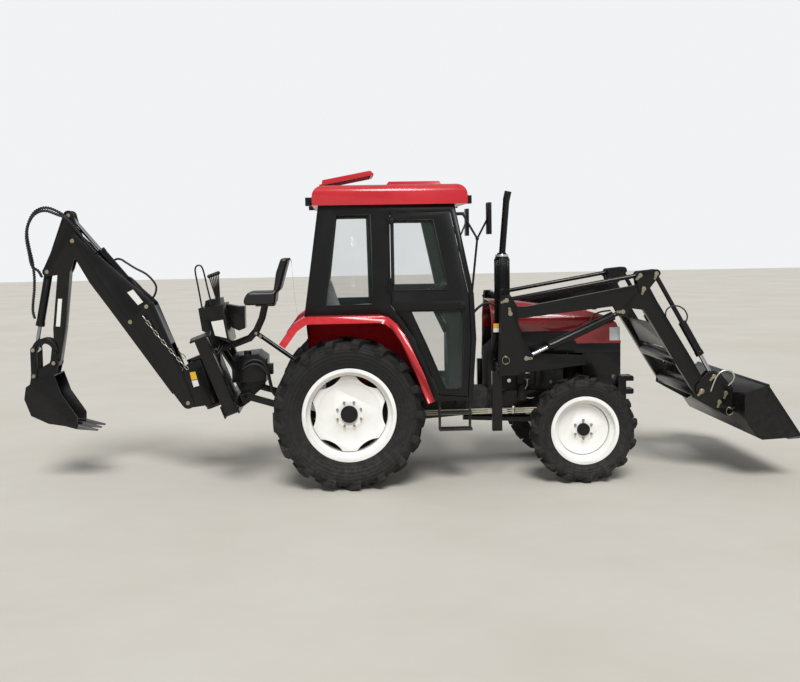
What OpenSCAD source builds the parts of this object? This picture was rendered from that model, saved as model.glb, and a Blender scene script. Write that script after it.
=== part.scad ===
// Compact cab tractor with a front loader and a digger on its rear hitch, standing on its wheels.
// X runs forward, Y to the left and Z up. The origin is on the ground, midway along the length.
// Side outlines are lists of [x, z], with x measured forward from the rear axle.

/* [Wheels] */
// Distance between the axles
wheelbase = 1922; // [1900:1:1940]
// Rear tyre radius over the lugs, which is the height of the rear axle
rear_tyre_r = 620; // [612:1:628]
// Front tyre radius over the lugs, which is the height of the front axle
front_tyre_r = 440; // [432:1:446]
// Rear tyre width
rear_tyre_w = 315; // [290:1:320]
// Front tyre width
front_tyre_w = 211; // [195:1:216]
// Distance between the centres of the rear tyres
rear_track = 1240; // [1230:1:1250]
// Distance between the centres of the front tyres
front_track = 1250; // [1240:1:1264]
// Radius of the rear rim flange
rear_rim_r = 380; // [372:1:388]
// Radius of the front rim flange
front_rim_r = 281; // [274:1:288]
// Lugs on one side of a rear tyre
rear_lugs = 17; // [14:1:18]
// Lugs on one side of a front tyre
front_lugs = 15; // [12:1:16]
// Height of a rear lug
rear_lug_h = 34; // [24:1:38]
// Height of a front lug
front_lug_h = 28; // [20:1:32]
// Distance of each kingpin from the middle of its wheel
kingpin_inset = 175; // [170:1:180]

/* [Cab] */
// Outer width of the cab's side frames
cab_w = 1260; // [1240:2:1270]
// Thickness of a side frame and of a door
wall_t = 45; // [36:1:50]
// Outer width over the rear wings
wing_w = 1560; // [1540:2:1580]
// Width of the inside between the two wings
wing_gap = 840; // [820:2:860]
// Thickness of the window glass
glass_t = 6; // [4:1:8]
// Width of the roof
roof_w = 1330; // [1300:2:1360]
// Height of the roof panel
roof_h = 160; // [140:1:180]

/* [Loader] */
// Distance between the centres of the loader arms
arm_track = 1040; // [1030:2:1050]
// Width of one arm's box section
arm_w = 70; // [60:1:74]
// Thickness of the mast and bellcrank plates
plate_t = 12; // [8:1:14]
// Width of the loader bucket
bucket_w = 1700; // [1600:10:1800]
// Bore-side diameter of the lift cylinders
lift_d = 76; // [66:1:84]
// Diameter of the loader's cylinder rods
loader_rod_d = 36; // [30:1:40]
// Diameter of the loader's pins
loader_pin_d = 30; // [26:1:34]

/* [Digger] */
// Rearward tilt of the digger's frame on its hitch
hitch_tilt = 20.7; // [18:0.1:23]
// Outer width of the boom
boom_w = 224; // [214:2:230]
// Width of the digging bucket
scoop_w = 340; // [320:5:350]
// Diameter of the digger's cylinder barrels
ram_d = 76; // [68:1:80]
// Diameter of the digger's cylinder rods
ram_rod_d = 38; // [32:1:42]
// Diameter of the digger's pins
digger_pin_d = 34; // [28:1:38]
// Distance between the stabilizer legs' centres
leg_track = 1390; // [1370:2:1400]
// Width of the digger's control console
console_w = 560; // [500:10:600]

/* [Hidden] */
$fn = 32;
// Distance from the rear axle forward to the middle of the overall length
middle_x = 475;
// Radial clearance round a pin, and the gap where one piece seats on another
fit = 0.3;
seat = 0.3;
// Side gap between plates that move past each other
side_gap = 3;
rear_axle = [0, rear_tyre_r];
front_axle = [wheelbase, front_tyre_r];
cab_y = cab_w / 2;
kingpin_track = front_track - 2 * kingpin_inset;
arm_y = arm_track / 2;
leg_y = leg_track / 2;

function unit(v) = v / norm(v);
function left_of(v) = [-v[1], v[0]];
function mid(a, b) = (a + b) / 2;
function along(a, b, s) = a + s * unit(b - a);
function arc(c, r, a0, a1, n) =
    [for (i = [0:n]) let(a = a0 + (a1 - a0) * i / n) c + r * [cos(a), sin(a)]];
// Normal at point i of an outline, lengthened so that an offset keeps its thickness
function mitre(p, i) =
    let(a = left_of(unit(p[max(i, 1)] - p[max(i, 1) - 1])),
        b = left_of(unit(p[min(i, len(p) - 2) + 1] - p[min(i, len(p) - 2)])),
        n = unit(a + b))
    n / (n * b);
function shifted(p, t) = [for (i = [0:len(p) - 1]) p[i] + t * mitre(p, i)];
function reversed(p) = [for (i = [len(p) - 1:-1:0]) p[i]];
// Band of thickness t on the left side of an open outline
function band(p, t) = concat(p, reversed(shifted(p, t)));

module from_axle() {
    translate([-middle_x, 0, 0]) children();
}

module both() {
    children();
    mirror([0, 1, 0]) children();
}

// Outline in the side view, extruded from y0 to y1
module plate(p, y0, y1) {
    translate([0, y1, 0]) rotate([90, 0, 0]) linear_extrude(y1 - y0) polygon(p);
}

// Cylinder across the machine at the side-view point c
module cross(c, d, y0, y1) {
    translate([c[0], y1, c[1]]) rotate([90, 0, 0]) cylinder(d = d, h = y1 - y0);
}

// The two ends of a pin that is open between its ears
module pin_ends(c, d, y, inner, outer) {
    cross(c, d, y - outer, y - inner);
    cross(c, d, y + inner, y + outer);
}

// Round bar between two points in space
module rod_3d(a, b, d) {
    v = b - a;
    translate(a) rotate([0, acos(v[2] / norm(v)), atan2(v[1], v[0])]) cylinder(d = d, h = norm(v));
}

// Round bar between two side-view points at the side distance y
module bar(a, b, d, y = 0) {
    rod_3d([a[0], y, a[1]], [b[0], y, b[1]], d);
}

// Flat bar with round ends on two side-view points
module strap(a, b, w, y0, y1) {
    n = left_of(unit(b - a)) * w / 2;
    plate([a + n, b + n, b - n, a - n], y0, y1);
    cross(a, w, y0, y1);
    cross(b, w, y0, y1);
}

function catmull(p, i, t) =
    let(a = p[max(i - 1, 0)], b = p[i], c = p[i + 1], d = p[min(i + 2, len(p) - 1)])
    0.5 * (2 * b + (c - a) * t + (2 * a - 5 * b + 4 * c - d) * t * t
        + (3 * b - a - 3 * c + d) * t * t * t);
function smooth(p, n) =
    concat([for (i = [0:len(p) - 2]) for (k = [0:n - 1]) catmull(p, i, k / n)], [p[len(p) - 1]]);

// Tube swept along points; up is a direction that the route never follows
module hose(p, d, sides = 8, closed = false, up = [0, 1, 0]) {
    n = len(p);
    function tangent(i) = unit(closed ? p[(i + 1) % n] - p[(i + n - 1) % n]
        : p[min(i + 1, n - 1)] - p[max(i - 1, 0)]);
    function ring(i) = let(t = tangent(i), u = unit(cross(up, t)), v = cross(t, u))
        [for (k = [0:sides - 1]) p[i] + d / 2 * (cos(360 * k / sides) * u + sin(360 * k / sides) * v)];
    points = [for (i = [0:n - 1]) each ring(i)];
    last = closed ? n - 1 : n - 2;
    walls = [for (i = [0:last]) for (k = [0:sides - 1])
        let(a = i * sides, b = ((i + 1) % n) * sides, q = (k + 1) % sides)
        [a + k, b + k, b + q, a + q]];
    ends = closed ? [] : [[for (k = [0:sides - 1]) k],
        [for (k = [sides - 1:-1:0]) (n - 1) * sides + k]];
    polyhedron(points, concat(walls, ends), convexity = 6);
}

/* Hydraulic cylinders: a barrel from its base pin and a rod to its own pin.
   a is the barrel's pin, b the rod's pin, len_b the barrel's length from a to the gland. */
module ram_barrel(a, b, d, rod_d, len_b, pin_d, eye_w, y = 0, tail = 0) {
    start = along(a, b, max(tail, pin_d * 0.8));
    gland = along(a, b, len_b);
    difference() {
        union() {
            cross(a, pin_d * 1.9, y - eye_w / 2, y + eye_w / 2);
            if (tail > 0) bar(a, along(a, b, tail + 20), min(d * 0.6, eye_w - 2), y);
            bar(start, gland, d, y);
            bar(along(a, b, len_b - 34), gland, d * 1.1, y);
        }
        cross(a, pin_d + 2 * fit, y - eye_w, y + eye_w);
        bar(along(a, b, max(tail, pin_d) + 18), along(a, b, len_b + 2), rod_d + 2 * fit, y);
    }
}

// The rod ends inner_l inside its pin
module ram_rod(a, b, rod_d, inner_l, pin_d, eye_w, y = 0) {
    difference() {
        union() {
            bar(along(b, a, inner_l), along(b, a, pin_d * 0.7), rod_d, y);
            cross(b, pin_d * 1.9, y - eye_w / 2, y + eye_w / 2);
        }
        cross(b, pin_d + 2 * fit, y - eye_w, y + eye_w);
    }
}

// Wheels, made about the Y axis at the origin with the outside towards +Y
function bead_r(rim_r) = rim_r - 24;
tyre_gap = 1;

module tyre(r, w, rim_r, lugs, lug_h) {
    crown = r - lug_h;
    wall = crown - rim_r;
    // Half sections, columns [radius, side distance]
    casing = [[bead_r(rim_r) + tyre_gap, 0.385 * w], [rim_r + 4, 0.385 * w],
        [rim_r + 0.4 * wall, 0.5 * w], [crown - 0.22 * wall, 0.48 * w], [crown, 0.31 * w]];
    pitch = 360 / lugs;
    full_turn(casing);
    for (i = [0:lugs - 1]) for (side = [0, 1])
        rotate([0, (i + side / 2) * pitch, 0]) mirror([0, side, 0]) tread_lug(r, crown, wall, w, lug_h);
}

module full_turn(half) {
    rotate([90, 0, 0]) rotate_extrude($fn = 36)
        polygon(concat(half, [for (p = reversed(half)) [p[0], -p[1]]]));
}

// One bar of the tread, from the middle of the tyre out and back to its shoulder
module tread_lug(r, crown, wall, w, lug_h) {
    t = 0.044 * r;
    // Plan of the bar, columns: distance back, side distance, half thickness
    bar = [[-0.17 * w, 0.02 * w, t * 0.9], [0.17 * w, 0.51 * w, t * 1.15]];
    top = sqrt(r * r - pow(0.17 * w + 0.9 * t, 2));
    foot = crown - 0.3 * wall;
    intersection() {
        mirror([0, 0, 1]) translate([0, 0, foot]) linear_extrude(r - foot)
            polygon(concat([for (p = bar) [p[0] - p[2], p[1]]], [for (p = reversed(bar)) [p[0] + p[2], p[1]]]));
        rotate([90, 0, 90]) translate([0, 0, -w]) linear_extrude(2 * w)
            polygon([[0, -foot - 1], [0, -top], [0.4 * w, -top], [0.5 * w, 0.8 * lug_h - top], [0.5 * w, -foot - 1]]);
    }
}

// Rim with its dished disc; holes and openings follow the table of the axle it is for
module rim(rim_r, w, disc_y, disc_r, hub_r, hub_y0, stub_d, stub_y0, bolt_n, bolt_r, scallops, scallop_r, bite) {
    t = 7;
    half_w = 0.39 * w;
    seat_r = bead_r(rim_r);
    well_r = seat_r - 34;
    outside = [[rim_r, half_w + t], [rim_r, half_w], [seat_r, half_w], [seat_r, 0.26 * w],
        [well_r, 0.18 * w], [well_r, -0.18 * w], [seat_r, -0.26 * w], [seat_r, -half_w],
        [rim_r, -half_w], [rim_r, -half_w - t]];
    inside = [[seat_r - t, -half_w - t], [seat_r - t, -0.26 * w + t / 2], [well_r - t, -0.18 * w + t / 2],
        [well_r - t, 0.18 * w - t / 2], [seat_r - t, 0.26 * w - t / 2], [seat_r - t, half_w + t]];
    turned() polygon(concat(outside, inside));
    difference() {
        union() {
            turned() polygon(dish(disc_y, disc_r, hub_r, well_r, t));
            rotate([-90, 0, 0]) translate([0, 0, hub_y0]) cylinder(r = hub_r * 0.62, h = disc_y + 26 - hub_y0);
            // Axle end in its bearing
            rotate([-90, 0, 0]) translate([0, 0, stub_y0]) cylinder(d = stub_d, h = hub_y0 - stub_y0 + 1);
            for (i = [0:bolt_n - 1]) rotate([0, 360 * (i + 0.5) / bolt_n, 0])
                translate([bolt_r, disc_y - 2, 0]) rotate([-90, 0, 0]) cylinder(r = 11, h = 20, $fn = 6);
        }
        // Openings between disc and well, each a bite of radius scallop_r
        for (i = [0:scallops - 1]) rotate([0, 360 * i / scallops, 0])
            translate([well_r - 54 + bite + scallop_r, 0, 0]) rotate([90, 0, 0])
                cylinder(r = scallop_r, h = w, center = true, $fn = 90);
    }
}

module turned() {
    rotate([-90, 0, 0]) rotate_extrude($fn = 64) children();
}

// Section of the disc: flat middle, raised ring and a cone out to the well
function dish(y, r, hub_r, well_r, t) =
    let(edge = well_r - t)
    [[0.1, y], [hub_r, y], [hub_r + 20, y - 14], [r - 20, y - 14], [r, y - 2], [edge - 8, y - 2],
     [edge + 1, y - 30], [edge + 1, y - 44], [edge - 12, y - 14], [r + 2, y - 14], [r - 18, y - 26],
     [hub_r + 16, y - 26], [hub_r - 4, y - 12], [0.1, y - 12]];

rear_disc_y = 45;
front_disc_y = 10;

module rear_wheel_rim() color("white") {
    rim(rear_rim_r, rear_tyre_w, rear_disc_y, 262, 112, -70, 90 - 2 * fit, -130, 8, 103, 6, 214, 0);
}

module front_wheel_rim() color("white") {
    rim(front_rim_r, front_tyre_w, front_disc_y, 207, 84, -52, 62 - 2 * fit, -113, 6, 77, 0, 1, 0);
}

module front_tyre() color([0.12, 0.12, 0.13])
    tyre(front_tyre_r, front_tyre_w, front_rim_r, front_lugs, front_lug_h);

module rear_tyre() color([0.12, 0.12, 0.13])
    tyre(rear_tyre_r, rear_tyre_w, rear_rim_r, rear_lugs, rear_lug_h);

module place_wheel(axle, track, side) {
    translate([axle[0], side * track / 2, axle[1]]) mirror([0, side > 0 ? 0 : 1, 0]) children();
}

// Tractor body
gearbox_w = 300;
trumpet_end = rear_track / 2 - 72;

module transmission() color("dimgray") {
    // Side outline of the gearbox and clutch housing
    box = [[-190, rear_tyre_r - 130], [-190, rear_tyre_r + 190], [80, rear_tyre_r + 230],
        [420, rear_tyre_r + 110], [1199, rear_tyre_r + 110], [1199, rear_tyre_r - 100],
        [520, rear_tyre_r - 150]];
    difference() {
        union() {
            plate(box, -gearbox_w / 2, gearbox_w / 2);
            both() {
                translate([0, gearbox_w / 2, rear_tyre_r]) rotate([-90, 0, 0])
                    cylinder(d1 = 260, d2 = 170, h = 120);
                translate([0, gearbox_w / 2, rear_tyre_r]) rotate([-90, 0, 0])
                    cylinder(d = 160, h = trumpet_end - gearbox_w / 2);
            }
        }
        both() cross(rear_axle, 90, trumpet_end - 60, trumpet_end + 1);
    }
}

rail_y0 = 165;
rail_t = 30;

module engine() color("darkslategray") {
    sump = [[1200, 560], [1805, 560], [1805, 720], [1200, 720]];
    block = [[1200, 720], [1850, 720], [1850, 1060], [1780, 1150], [1290, 1150], [1200, 1060]];
    plate(sump, -rail_y0 + 1, rail_y0 - 1);
    plate(block, -190, 190);
    // Oil filter, fuel filter and pump on the right side
    translate([1480, -255, 640]) cylinder(d = 84, h = 130);
    translate([1440, -250, 770]) cube([160, 61, 110]);
    translate([1617, -262, 760]) cylinder(d = 62, h = 150);
    translate([1560, -280, 900]) cube([120, 91, 60]);
    translate([1849, 0, 960]) rotate([0, 90, 0]) cylinder(d = 330, h = 16);
}

module front_frame() color("black") {
    rail = [[1250, 575], [2330, 575], [2330, 715], [1250, 715]];
    both() plate(rail, rail_y0, rail_y0 + rail_t);
    // Cross pieces and the axle's pivot brackets
    translate([2290, -rail_y0, 575]) cube([40, 2 * rail_y0, 140]);
    for (x = [wheelbase - 110, wheelbase + 80]) difference() {
        translate([x, -rail_y0, front_tyre_r - 45]) cube([30, 2 * rail_y0, 260]);
        translate([x - 1, 0, front_tyre_r + 25]) rotate([0, 90, 0]) cylinder(d = 50, h = 32);
    }
    translate([wheelbase - 112, 0, front_tyre_r + 25]) rotate([0, 90, 0]) cylinder(d = 50, h = 226);
    // Nose bracket with the cast towing jaw
    nose = [[2330, 600], [2400, 600], [2400, 800], [2330, 830]];
    plate(nose, -rail_y0 - rail_t, rail_y0 + rail_t);
    difference() {
        plate([[2400, 640], [2490, 640], [2500, 650], [2500, 790], [2490, 800], [2400, 800]], -70, 70);
        translate([2430, -71, 685]) cube([80, 142, 70]);
        translate([2468, 0, 600]) cylinder(d = 32, h = 240);
    }
}

module front_axle_beam() color("black") {
    difference() {
        union() {
            both() {
                rod_3d([wheelbase, 60, front_tyre_r], [wheelbase, kingpin_track / 2 - 62, front_tyre_r], 112);
                // Yoke round the knuckle
                translate([wheelbase - 45, kingpin_track / 2 - 82, front_tyre_r - 120]) cube([90, 20, 240]);
                for (z = [front_tyre_r - 120, front_tyre_r + 98]) hull() {
                    translate([wheelbase - 45, kingpin_track / 2 - 82, z]) cube([90, 20, 22]);
                    translate([wheelbase, kingpin_track / 2, z]) cylinder(d = 70, h = 22);
                }
            }
            rod_3d([wheelbase, -90, front_tyre_r], [wheelbase, 90, front_tyre_r], 150);
            // Drive case and the shaft's guard tube from the gearbox
            rod_3d([1780, 0, front_tyre_r - 10], [wheelbase, 0, front_tyre_r], 90);
            rod_3d([1000, 0, rear_tyre_r - 150], [1790, 0, front_tyre_r - 10], 62);
        }
        translate([wheelbase - 120, 0, front_tyre_r + 25]) rotate([0, 90, 0]) cylinder(d = 50 + 2 * fit, h = 240);
        both() translate([wheelbase, kingpin_track / 2, front_tyre_r - 150]) cylinder(d = 40 + 2 * fit, h = 300);
        for (x = [wheelbase - 111, wheelbase + 79]) translate([x, -200, front_tyre_r - 48]) cube([32, 400, 270]);
    }
}

// Steering knuckle with the kingpin case and the wheel's hub, on the left
module knuckle() {
    y = kingpin_track / 2;
    color("black") difference() {
        union() {
            translate([wheelbase, y, front_tyre_r - 95]) cylinder(d = 104, h = 190);
            rod_3d([wheelbase, y, front_tyre_r], [wheelbase, y + 106, front_tyre_r], 96);
            // Kingpin, with the steering arm on its top
            translate([wheelbase, y, front_tyre_r - 124]) cylinder(d = 40, h = 272);
            translate([wheelbase - 75, y - 12, front_tyre_r + 136]) cube([150, 44, 24], center = true);
            translate([wheelbase, y, front_tyre_r + 124]) cylinder(d = 62, h = 24);
        }
        rod_3d([wheelbase, y + 60, front_tyre_r], [wheelbase, y + 110, front_tyre_r], 62);
    }
}

// Wings: top outline from the rear tip to the step
wing_path = [[-546, 1206], [-440, 1350], [-350, 1412], [-300, 1420], [262, 1420], [330, 1402],
    [400, 1345], [478, 1226], [600, 952], [687, 722]];
wing_t = 24;

module wings() color("firebrick") both() {
    plate(band(wing_path, -wing_t), wing_gap / 2, wing_w / 2 - 26);
    // Rolled outer lip
    plate(band(wing_path, -wing_t - 34), wing_w / 2 - 26, wing_w / 2);
    // Inner wall beside the tyre
    inner = shifted(wing_path, -wing_t);
    plate([inner[2], inner[3], inner[4], inner[5], inner[6], inner[7], inner[8], inner[9],
        [640, 722], [560, 800], [-300, 900]], wing_gap / 2, wing_gap / 2 + 16);
}

// Cab
cab_top = 2300;
// Outer side outline of the cab above the wings: rear post, roof line, front post and sill
cab_outline = [[-348, 1390], [-215, cab_top], [880, cab_top], [1030, 1575], [1047, 1208], [1012, 700],
    [640, 700]];
door_gap = 55;
door_clear = 6;
// Door: top, front and sill corners, then up along the wing
door_front = [[362, 2238], [842, 2238], [986, 1575], [1001, 1208], [972, 735]];
under_door = shifted(wing_path, door_gap);
door_outline = concat(door_front, [under_door[9] + [6, 13], under_door[8], under_door[7], under_door[6],
    [362, 1490]]);
rear_pane = [[-76, 2222], [204, 2222], [214, 1500], [-165, 1500]];
upper_pane = [[383, 2178], [706, 2178], [826, 1612], [383, 1612]];
lower_pane = [[520, 1440], [944, 1440], [946, 1208], [922, 800], [790, 800], [640, 1160]];

module cab_frame() color([0.09, 0.09, 0.1]) {
    both() {
        difference() {
            plate(cab_outline, cab_y - wall_t, cab_y);
            plate(concat([[-700, 0]], shifted(wing_path, seat), [[690, 0]]), 0, cab_y + 1);
            plate(grown(door_outline, door_clear), 0, cab_y + 1);
            plate(rear_pane, 0, cab_y + 1);
        }
        // Door hinges on the middle post
        for (z = [1600, 2080]) translate([345, cab_y + 15, z]) cylinder(d = 22, h = 60);
        for (z = [1600, 2080]) translate([322, cab_y, z]) cube([22, 14, 60]);
        // Mirror on its tube arm
        rod_3d([1018, cab_y - 10, 1601], [1057, cab_y + 40, 2017], 18);
        rod_3d([1057, cab_y + 40, 2017], [947, cab_y - 10, 2219], 18);
        translate([1057, cab_y + 40, 2017]) sphere(d = 30);
        rod_3d([1057, cab_y + 40, 2017], [1135, cab_y + 110, 2180], 16);
        plate([[885, 2206], [958, 2206], [958, 2232], [880, 2232]], cab_y - 18, cab_y);
        translate([1128, cab_y + 40, 2050]) cube([26, 150, 250]);
    }
    // Beams across the front and rear
    inner_y = cab_y - wall_t;
    plate([[835, 2240], [893, 2240], [880, cab_top], [840, cab_top]], -inner_y, inner_y);
    plate([[-206, 2240], [-160, 2240], [-160, cab_top], [-213, cab_top]], -inner_y, inner_y);
    plate([[-345, 1421], [-290, 1421], [-280, 1500], [-333, 1500]], -inner_y, inner_y);
    plate([[988, 1500], [1036, 1500], [1027, 1575], [980, 1575]], -inner_y, inner_y);
}

// Outline moved outwards all round; its points run clockwise seen from the right
function grown(p, t) =
    let(n = len(p))
    [for (i = [0:n - 1])
        let(a = left_of(unit(p[i] - p[(i + n - 1) % n])), b = left_of(unit(p[(i + 1) % n] - p[i])),
            m = unit(a + b))
        p[i] + t * m / (m * b)];

module cab_windows() color([0.6, 0.75, 0.8, 0.4]) {
    inner_y = cab_y - wall_t;
    y = cab_y - wall_t / 2;
    both() plate(grown(rear_pane, -seat), y - glass_t / 2, y + glass_t / 2);
    // Windscreen and rear window, between the side frames and the beams
    plate([[885, 2239], [885 - glass_t, 2239], [1018 - glass_t, 1576], [1018, 1576]], -inner_y + seat, inner_y - seat);
    plate([[-198, 2239], [-198 + glass_t, 2239], [-322 + glass_t, 1501], [-322, 1501]], -inner_y + seat, inner_y - seat);
}

module cab_floor() color([0.13, 0.13, 0.14]) {
    inner_y = wing_gap / 2 - 1;
    wide_y = cab_y - wall_t - 1;
    // Foot plate, riser and seat deck
    plate([[700, 735], [1030, 735], [1030, 760], [700, 760]], -wide_y, wide_y);
    plate([[560, 1130], [600, 1130], [728, 760], [700, 760]], -inner_y, inner_y);
    plate([[-280, 1130], [600, 1130], [600, 1155], [-280, 1155]], -inner_y, inner_y);
    plate([[-280, 1155], [-255, 1155], [-290, 1420], [-318, 1420]], -inner_y, inner_y);
    // Fire wall and dashboard with the steering column
    plate([[1010, 760], [1030, 760], [1030, 1208], [1022, 1498], [1002, 1498]], -wide_y, wide_y);
    plate([[860, 760], [1008, 760], [1000, 1490], [975, 1498], [895, 1560], [800, 1540], [780, 1440], [860, 1300]], -190, 190);
    rod_3d([wheel_hub[0], 0, wheel_hub[1]] + column_axis * (11 + seat), [wheel_hub[0], 0, wheel_hub[1]] + column_axis * 380, 46);
    // Steps under the doors
    both() {
        translate([0, cab_y - wall_t - 40, 0]) {
            for (x = [735, 985]) translate([x, 0, 457]) cube([20, 20, 278]);
            translate([735, 0, 457]) cube([270, 110, 18]);
            translate([735, 0, 590]) cube([270, 90, 18]);
        }
        // Brackets to the gearbox
        translate([900, gearbox_w / 2 + seat, 640]) cube([60, 240, 40]);
        translate([900, 340, 679]) cube([60, 50, 57]);
    }
}

module cab_seat() color("gray") {
    // Cushion and back in one soft block over a low base
    plate([[-120, 1155 + seat], [200, 1155 + seat], [200, 1330], [-120, 1330]], -150, 150);
    plate([[-130, 1330 + seat], [235, 1330 + seat], [260, 1400], [235, 1470], [-50, 1450], [-130, 1690], [-200, 1690],
        [-190, 1450]], -230, 230);
}

roof_x = [-262, 985];

module cab_roof() color("firebrick") {
    r = 90;
    side_r = 60;
    z1 = cab_top + roof_h;
    // Side outline with round ends, and the same across
    outline = concat([[roof_x[0], cab_top + seat], [roof_x[1], cab_top + seat]],
        arc([roof_x[1] - r, z1 - r], r, 0, 90, 8), arc([roof_x[0] + r, z1 - r], r, 90, 180, 8));
    difference() {
        intersection() {
            plate(outline, -roof_w / 2, roof_w / 2);
            rotate([90, 0, 90]) translate([0, 0, roof_x[0]]) linear_extrude(roof_x[1] - roof_x[0])
                polygon(concat([[-roof_w / 2, cab_top], [roof_w / 2, cab_top]],
                    arc([roof_w / 2 - side_r, z1 - side_r], side_r, 0, 90, 6),
                    arc([-roof_w / 2 + side_r, z1 - side_r], side_r, 90, 180, 6)));
        }
        // Ceiling hollow and the hatch opening
        translate([-190, -565, cab_top - 1]) cube([1100, 1130, 122]);
        translate([-140, -250, cab_top]) cube([350, 500, 300]);
    }
    // Raised air inlet in front of the hatch
    plate([[340, z1 - 1], [820, z1 - 1], [790, z1 + 42], [370, z1 + 42]], -300, 300);
    // Hatch hinges
    both() translate([hatch_hinge[0] - 10, 140, z1 - 11]) cube([20, 40, 30]);
    both() cross(hatch_hinge, 12, 140, 220);
}

hatch_hinge = [-196, cab_top + roof_h + 18];

module roof_hatch() color("firebrick") {
    tilt = 10.5;
    translate([hatch_hinge[0], 0, hatch_hinge[1]]) rotate([0, -tilt, 0]) difference() {
        union() {
            plate([[13, 12], [24, 40], [430, 40], [450, 12], [450, 0], [13, 0]], -290, 290);
            both() translate([-10, 185, -10]) cube([34, 30, 24]);
        }
        plate([[26, -1], [428, -1], [428, 24], [26, 24]], -270, 270);
        both() rotate([90, 0, 0]) translate([0, 0, -300]) cylinder(d = 12 + 2 * fit, h = 200);
    }
}

module hinged_door() color([0.09, 0.09, 0.1]) {
    t = wall_t - 5;
    difference() {
        union() {
            plate(door_outline, cab_y - t - 2, cab_y - 2);
            // Belt rail with its latch and grab tube
            plate([[393, 1447], [942, 1447], [942, 1518], [393, 1518]], cab_y - 4, cab_y + 14);
            translate([930, cab_y + 10, 1482]) rotate([-90, 0, 0]) cylinder(d = 58, h = 16);
            for (z = [1662, 2142]) translate([345, cab_y + 15, z]) cylinder(d = 22, h = 50);
            for (z = [1662, 2142]) {
                translate([345, cab_y + 1, z]) cube([38, 13, 50]);
                translate([364, cab_y - 3, z]) cube([19, 5, 50]);
            }
        }
        plate(upper_pane, 0, cab_y + 30);
        plate(lower_pane, 0, cab_y + 30);
    }
    color([0.6, 0.75, 0.8, 0.4]) for (p = [upper_pane, lower_pane])
        plate(p, cab_y - t / 2 - 2 - glass_t / 2, cab_y - t / 2 - 2 + glass_t / 2);
}

// Hood
hood_w = 640;
hood_t = 12;
hood_top = [[1216, 1496], [1500, 1468], [2054, 1389], [2190, 1350], [2280, 1290], [2320, 1200]];

module hood() color("firebrick") {
    r = 90;
    z0 = 1228;
    outline = concat(hood_top, [[2320, 1118], [1940, 1118], [1870, z0], [1216, z0]]);
    inside = concat(shifted(hood_top, -hood_t), [[2320 - hood_t, 1117], [1940, 1117], [1870, z0 - 1], [1215, z0 - 1]]);
    difference() {
        intersection() {
            plate(outline, -hood_w / 2, hood_w / 2);
            // Section across, crowned over the top
            rotate([90, 0, 90]) translate([0, 0, 1200]) linear_extrude(1140)
                polygon([[-hood_w / 2, 1100], [hood_w / 2, 1100], [hood_w / 2 - 8, 1340], [hood_w / 2 - 60, 1430],
                    [hood_w / 2 - 150, 1500], [-hood_w / 2 + 150, 1500], [-hood_w / 2 + 60, 1430],
                    [-hood_w / 2 + 8, 1340]]);
        }
        intersection() {
            plate(inside, -hood_w / 2 + hood_t, hood_w / 2 - hood_t);
            rotate([90, 0, 90]) translate([0, 0, 1190]) linear_extrude(1160)
                polygon([[-hood_w / 2 + hood_t, 1090], [hood_w / 2 - hood_t, 1090], [hood_w / 2 - 20, 1333],
                    [hood_w / 2 - 68, 1420], [hood_w / 2 - 155, 1486], [-hood_w / 2 + 155, 1486],
                    [-hood_w / 2 + 68, 1420], [-hood_w / 2 + 20, 1333]]);
        }
        for (s = [-1, 1]) translate([2222 - seat, s * 250 - 78, 1137 - seat]) cube([200, 156, 114 + 2 * seat]);
        rod_3d([1295, -250, 1262], [1295, -400, 1262], 96);
    }
    // Side panels and the grille case under the red shell
    color([0.08, 0.08, 0.08]) {
        both() difference() {
            plate([[1216, 1040], [2311, 1037], [2311, 1118 - seat], [1940 - seat, 1118 - seat], [1870 - seat, z0 - seat],
                [1216, z0 - seat]], hood_w / 2 - 14, hood_w / 2 - 2);
            rod_3d([1295, 250, 1262], [1295, 400, 1262], 96);
        }
        difference() {
            plate([[1990, 844], [2320, 844], [2320, 1118 - seat], [1990, 1118 - seat]], -hood_w / 2 + 14 + seat, hood_w / 2 - 14 - seat);
            plate([[1980, 846], [2290, 864], [2290, 1130], [1980, 1130]], -hood_w / 2 + 30, hood_w / 2 - 30);
            for (i = [0:6]) translate([2280, -230, 872 + 32 * i]) cube([60, 460, 18]);
        }
        for (s = [-1, 1]) translate([2060, s * 215 - 35, 716]) cube([200, 70, 129]);
    }
}

module lamps() color("lightyellow") {
    // Headlamps round the hood's corners
    both() translate([0, 0, 1137]) linear_extrude(114)
        polygon(concat([[2222, 172 + seat], [2316, 172 + seat]], arc([2282, 278], 38, 0, 90, 4), [[2222, 316]]));
    // Work lamps at the roof's corners
    color("black") for (s = [-1, 1]) {
        translate([roof_x[1] + seat, s * 520 - 45, cab_top + 2]) cube([44, 90, 67]);
        translate([roof_x[0] - 55 - seat, s * 520 - 45, cab_top + 2]) cube([55, 90, 67]);
    }
}

exhaust_y = -400;

module exhaust() color([0.1, 0.1, 0.1]) {
    translate([1295, exhaust_y, 1316]) cylinder(d = 116, h = 548);
    translate([1295, exhaust_y, 1864]) cylinder(d1 = 100, d2 = 70, h = 34);
    rod_3d([1298, exhaust_y, 1890], [1336, exhaust_y, 2330], 54);
    rod_3d([1335, exhaust_y, 2326], [1352, exhaust_y, 2402], 58);
    // Elbow through the hood's side and down to the engine
    translate([1295, exhaust_y, 1226]) cylinder(d = 70, h = 95);
    rod_3d([1295, exhaust_y, 1262], [1295, -240, 1262], 60);
    translate([1295, -262, 1056]) cylinder(d = 70, h = 240);
    rod_3d([1295, -250, 1090], [1295, -190 - seat, 1090], 60);
}

wheel_hub = [698, 1565];
wheel_tilt = 25;
column_axis = [sin(wheel_tilt), 0, -cos(wheel_tilt)];

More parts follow.
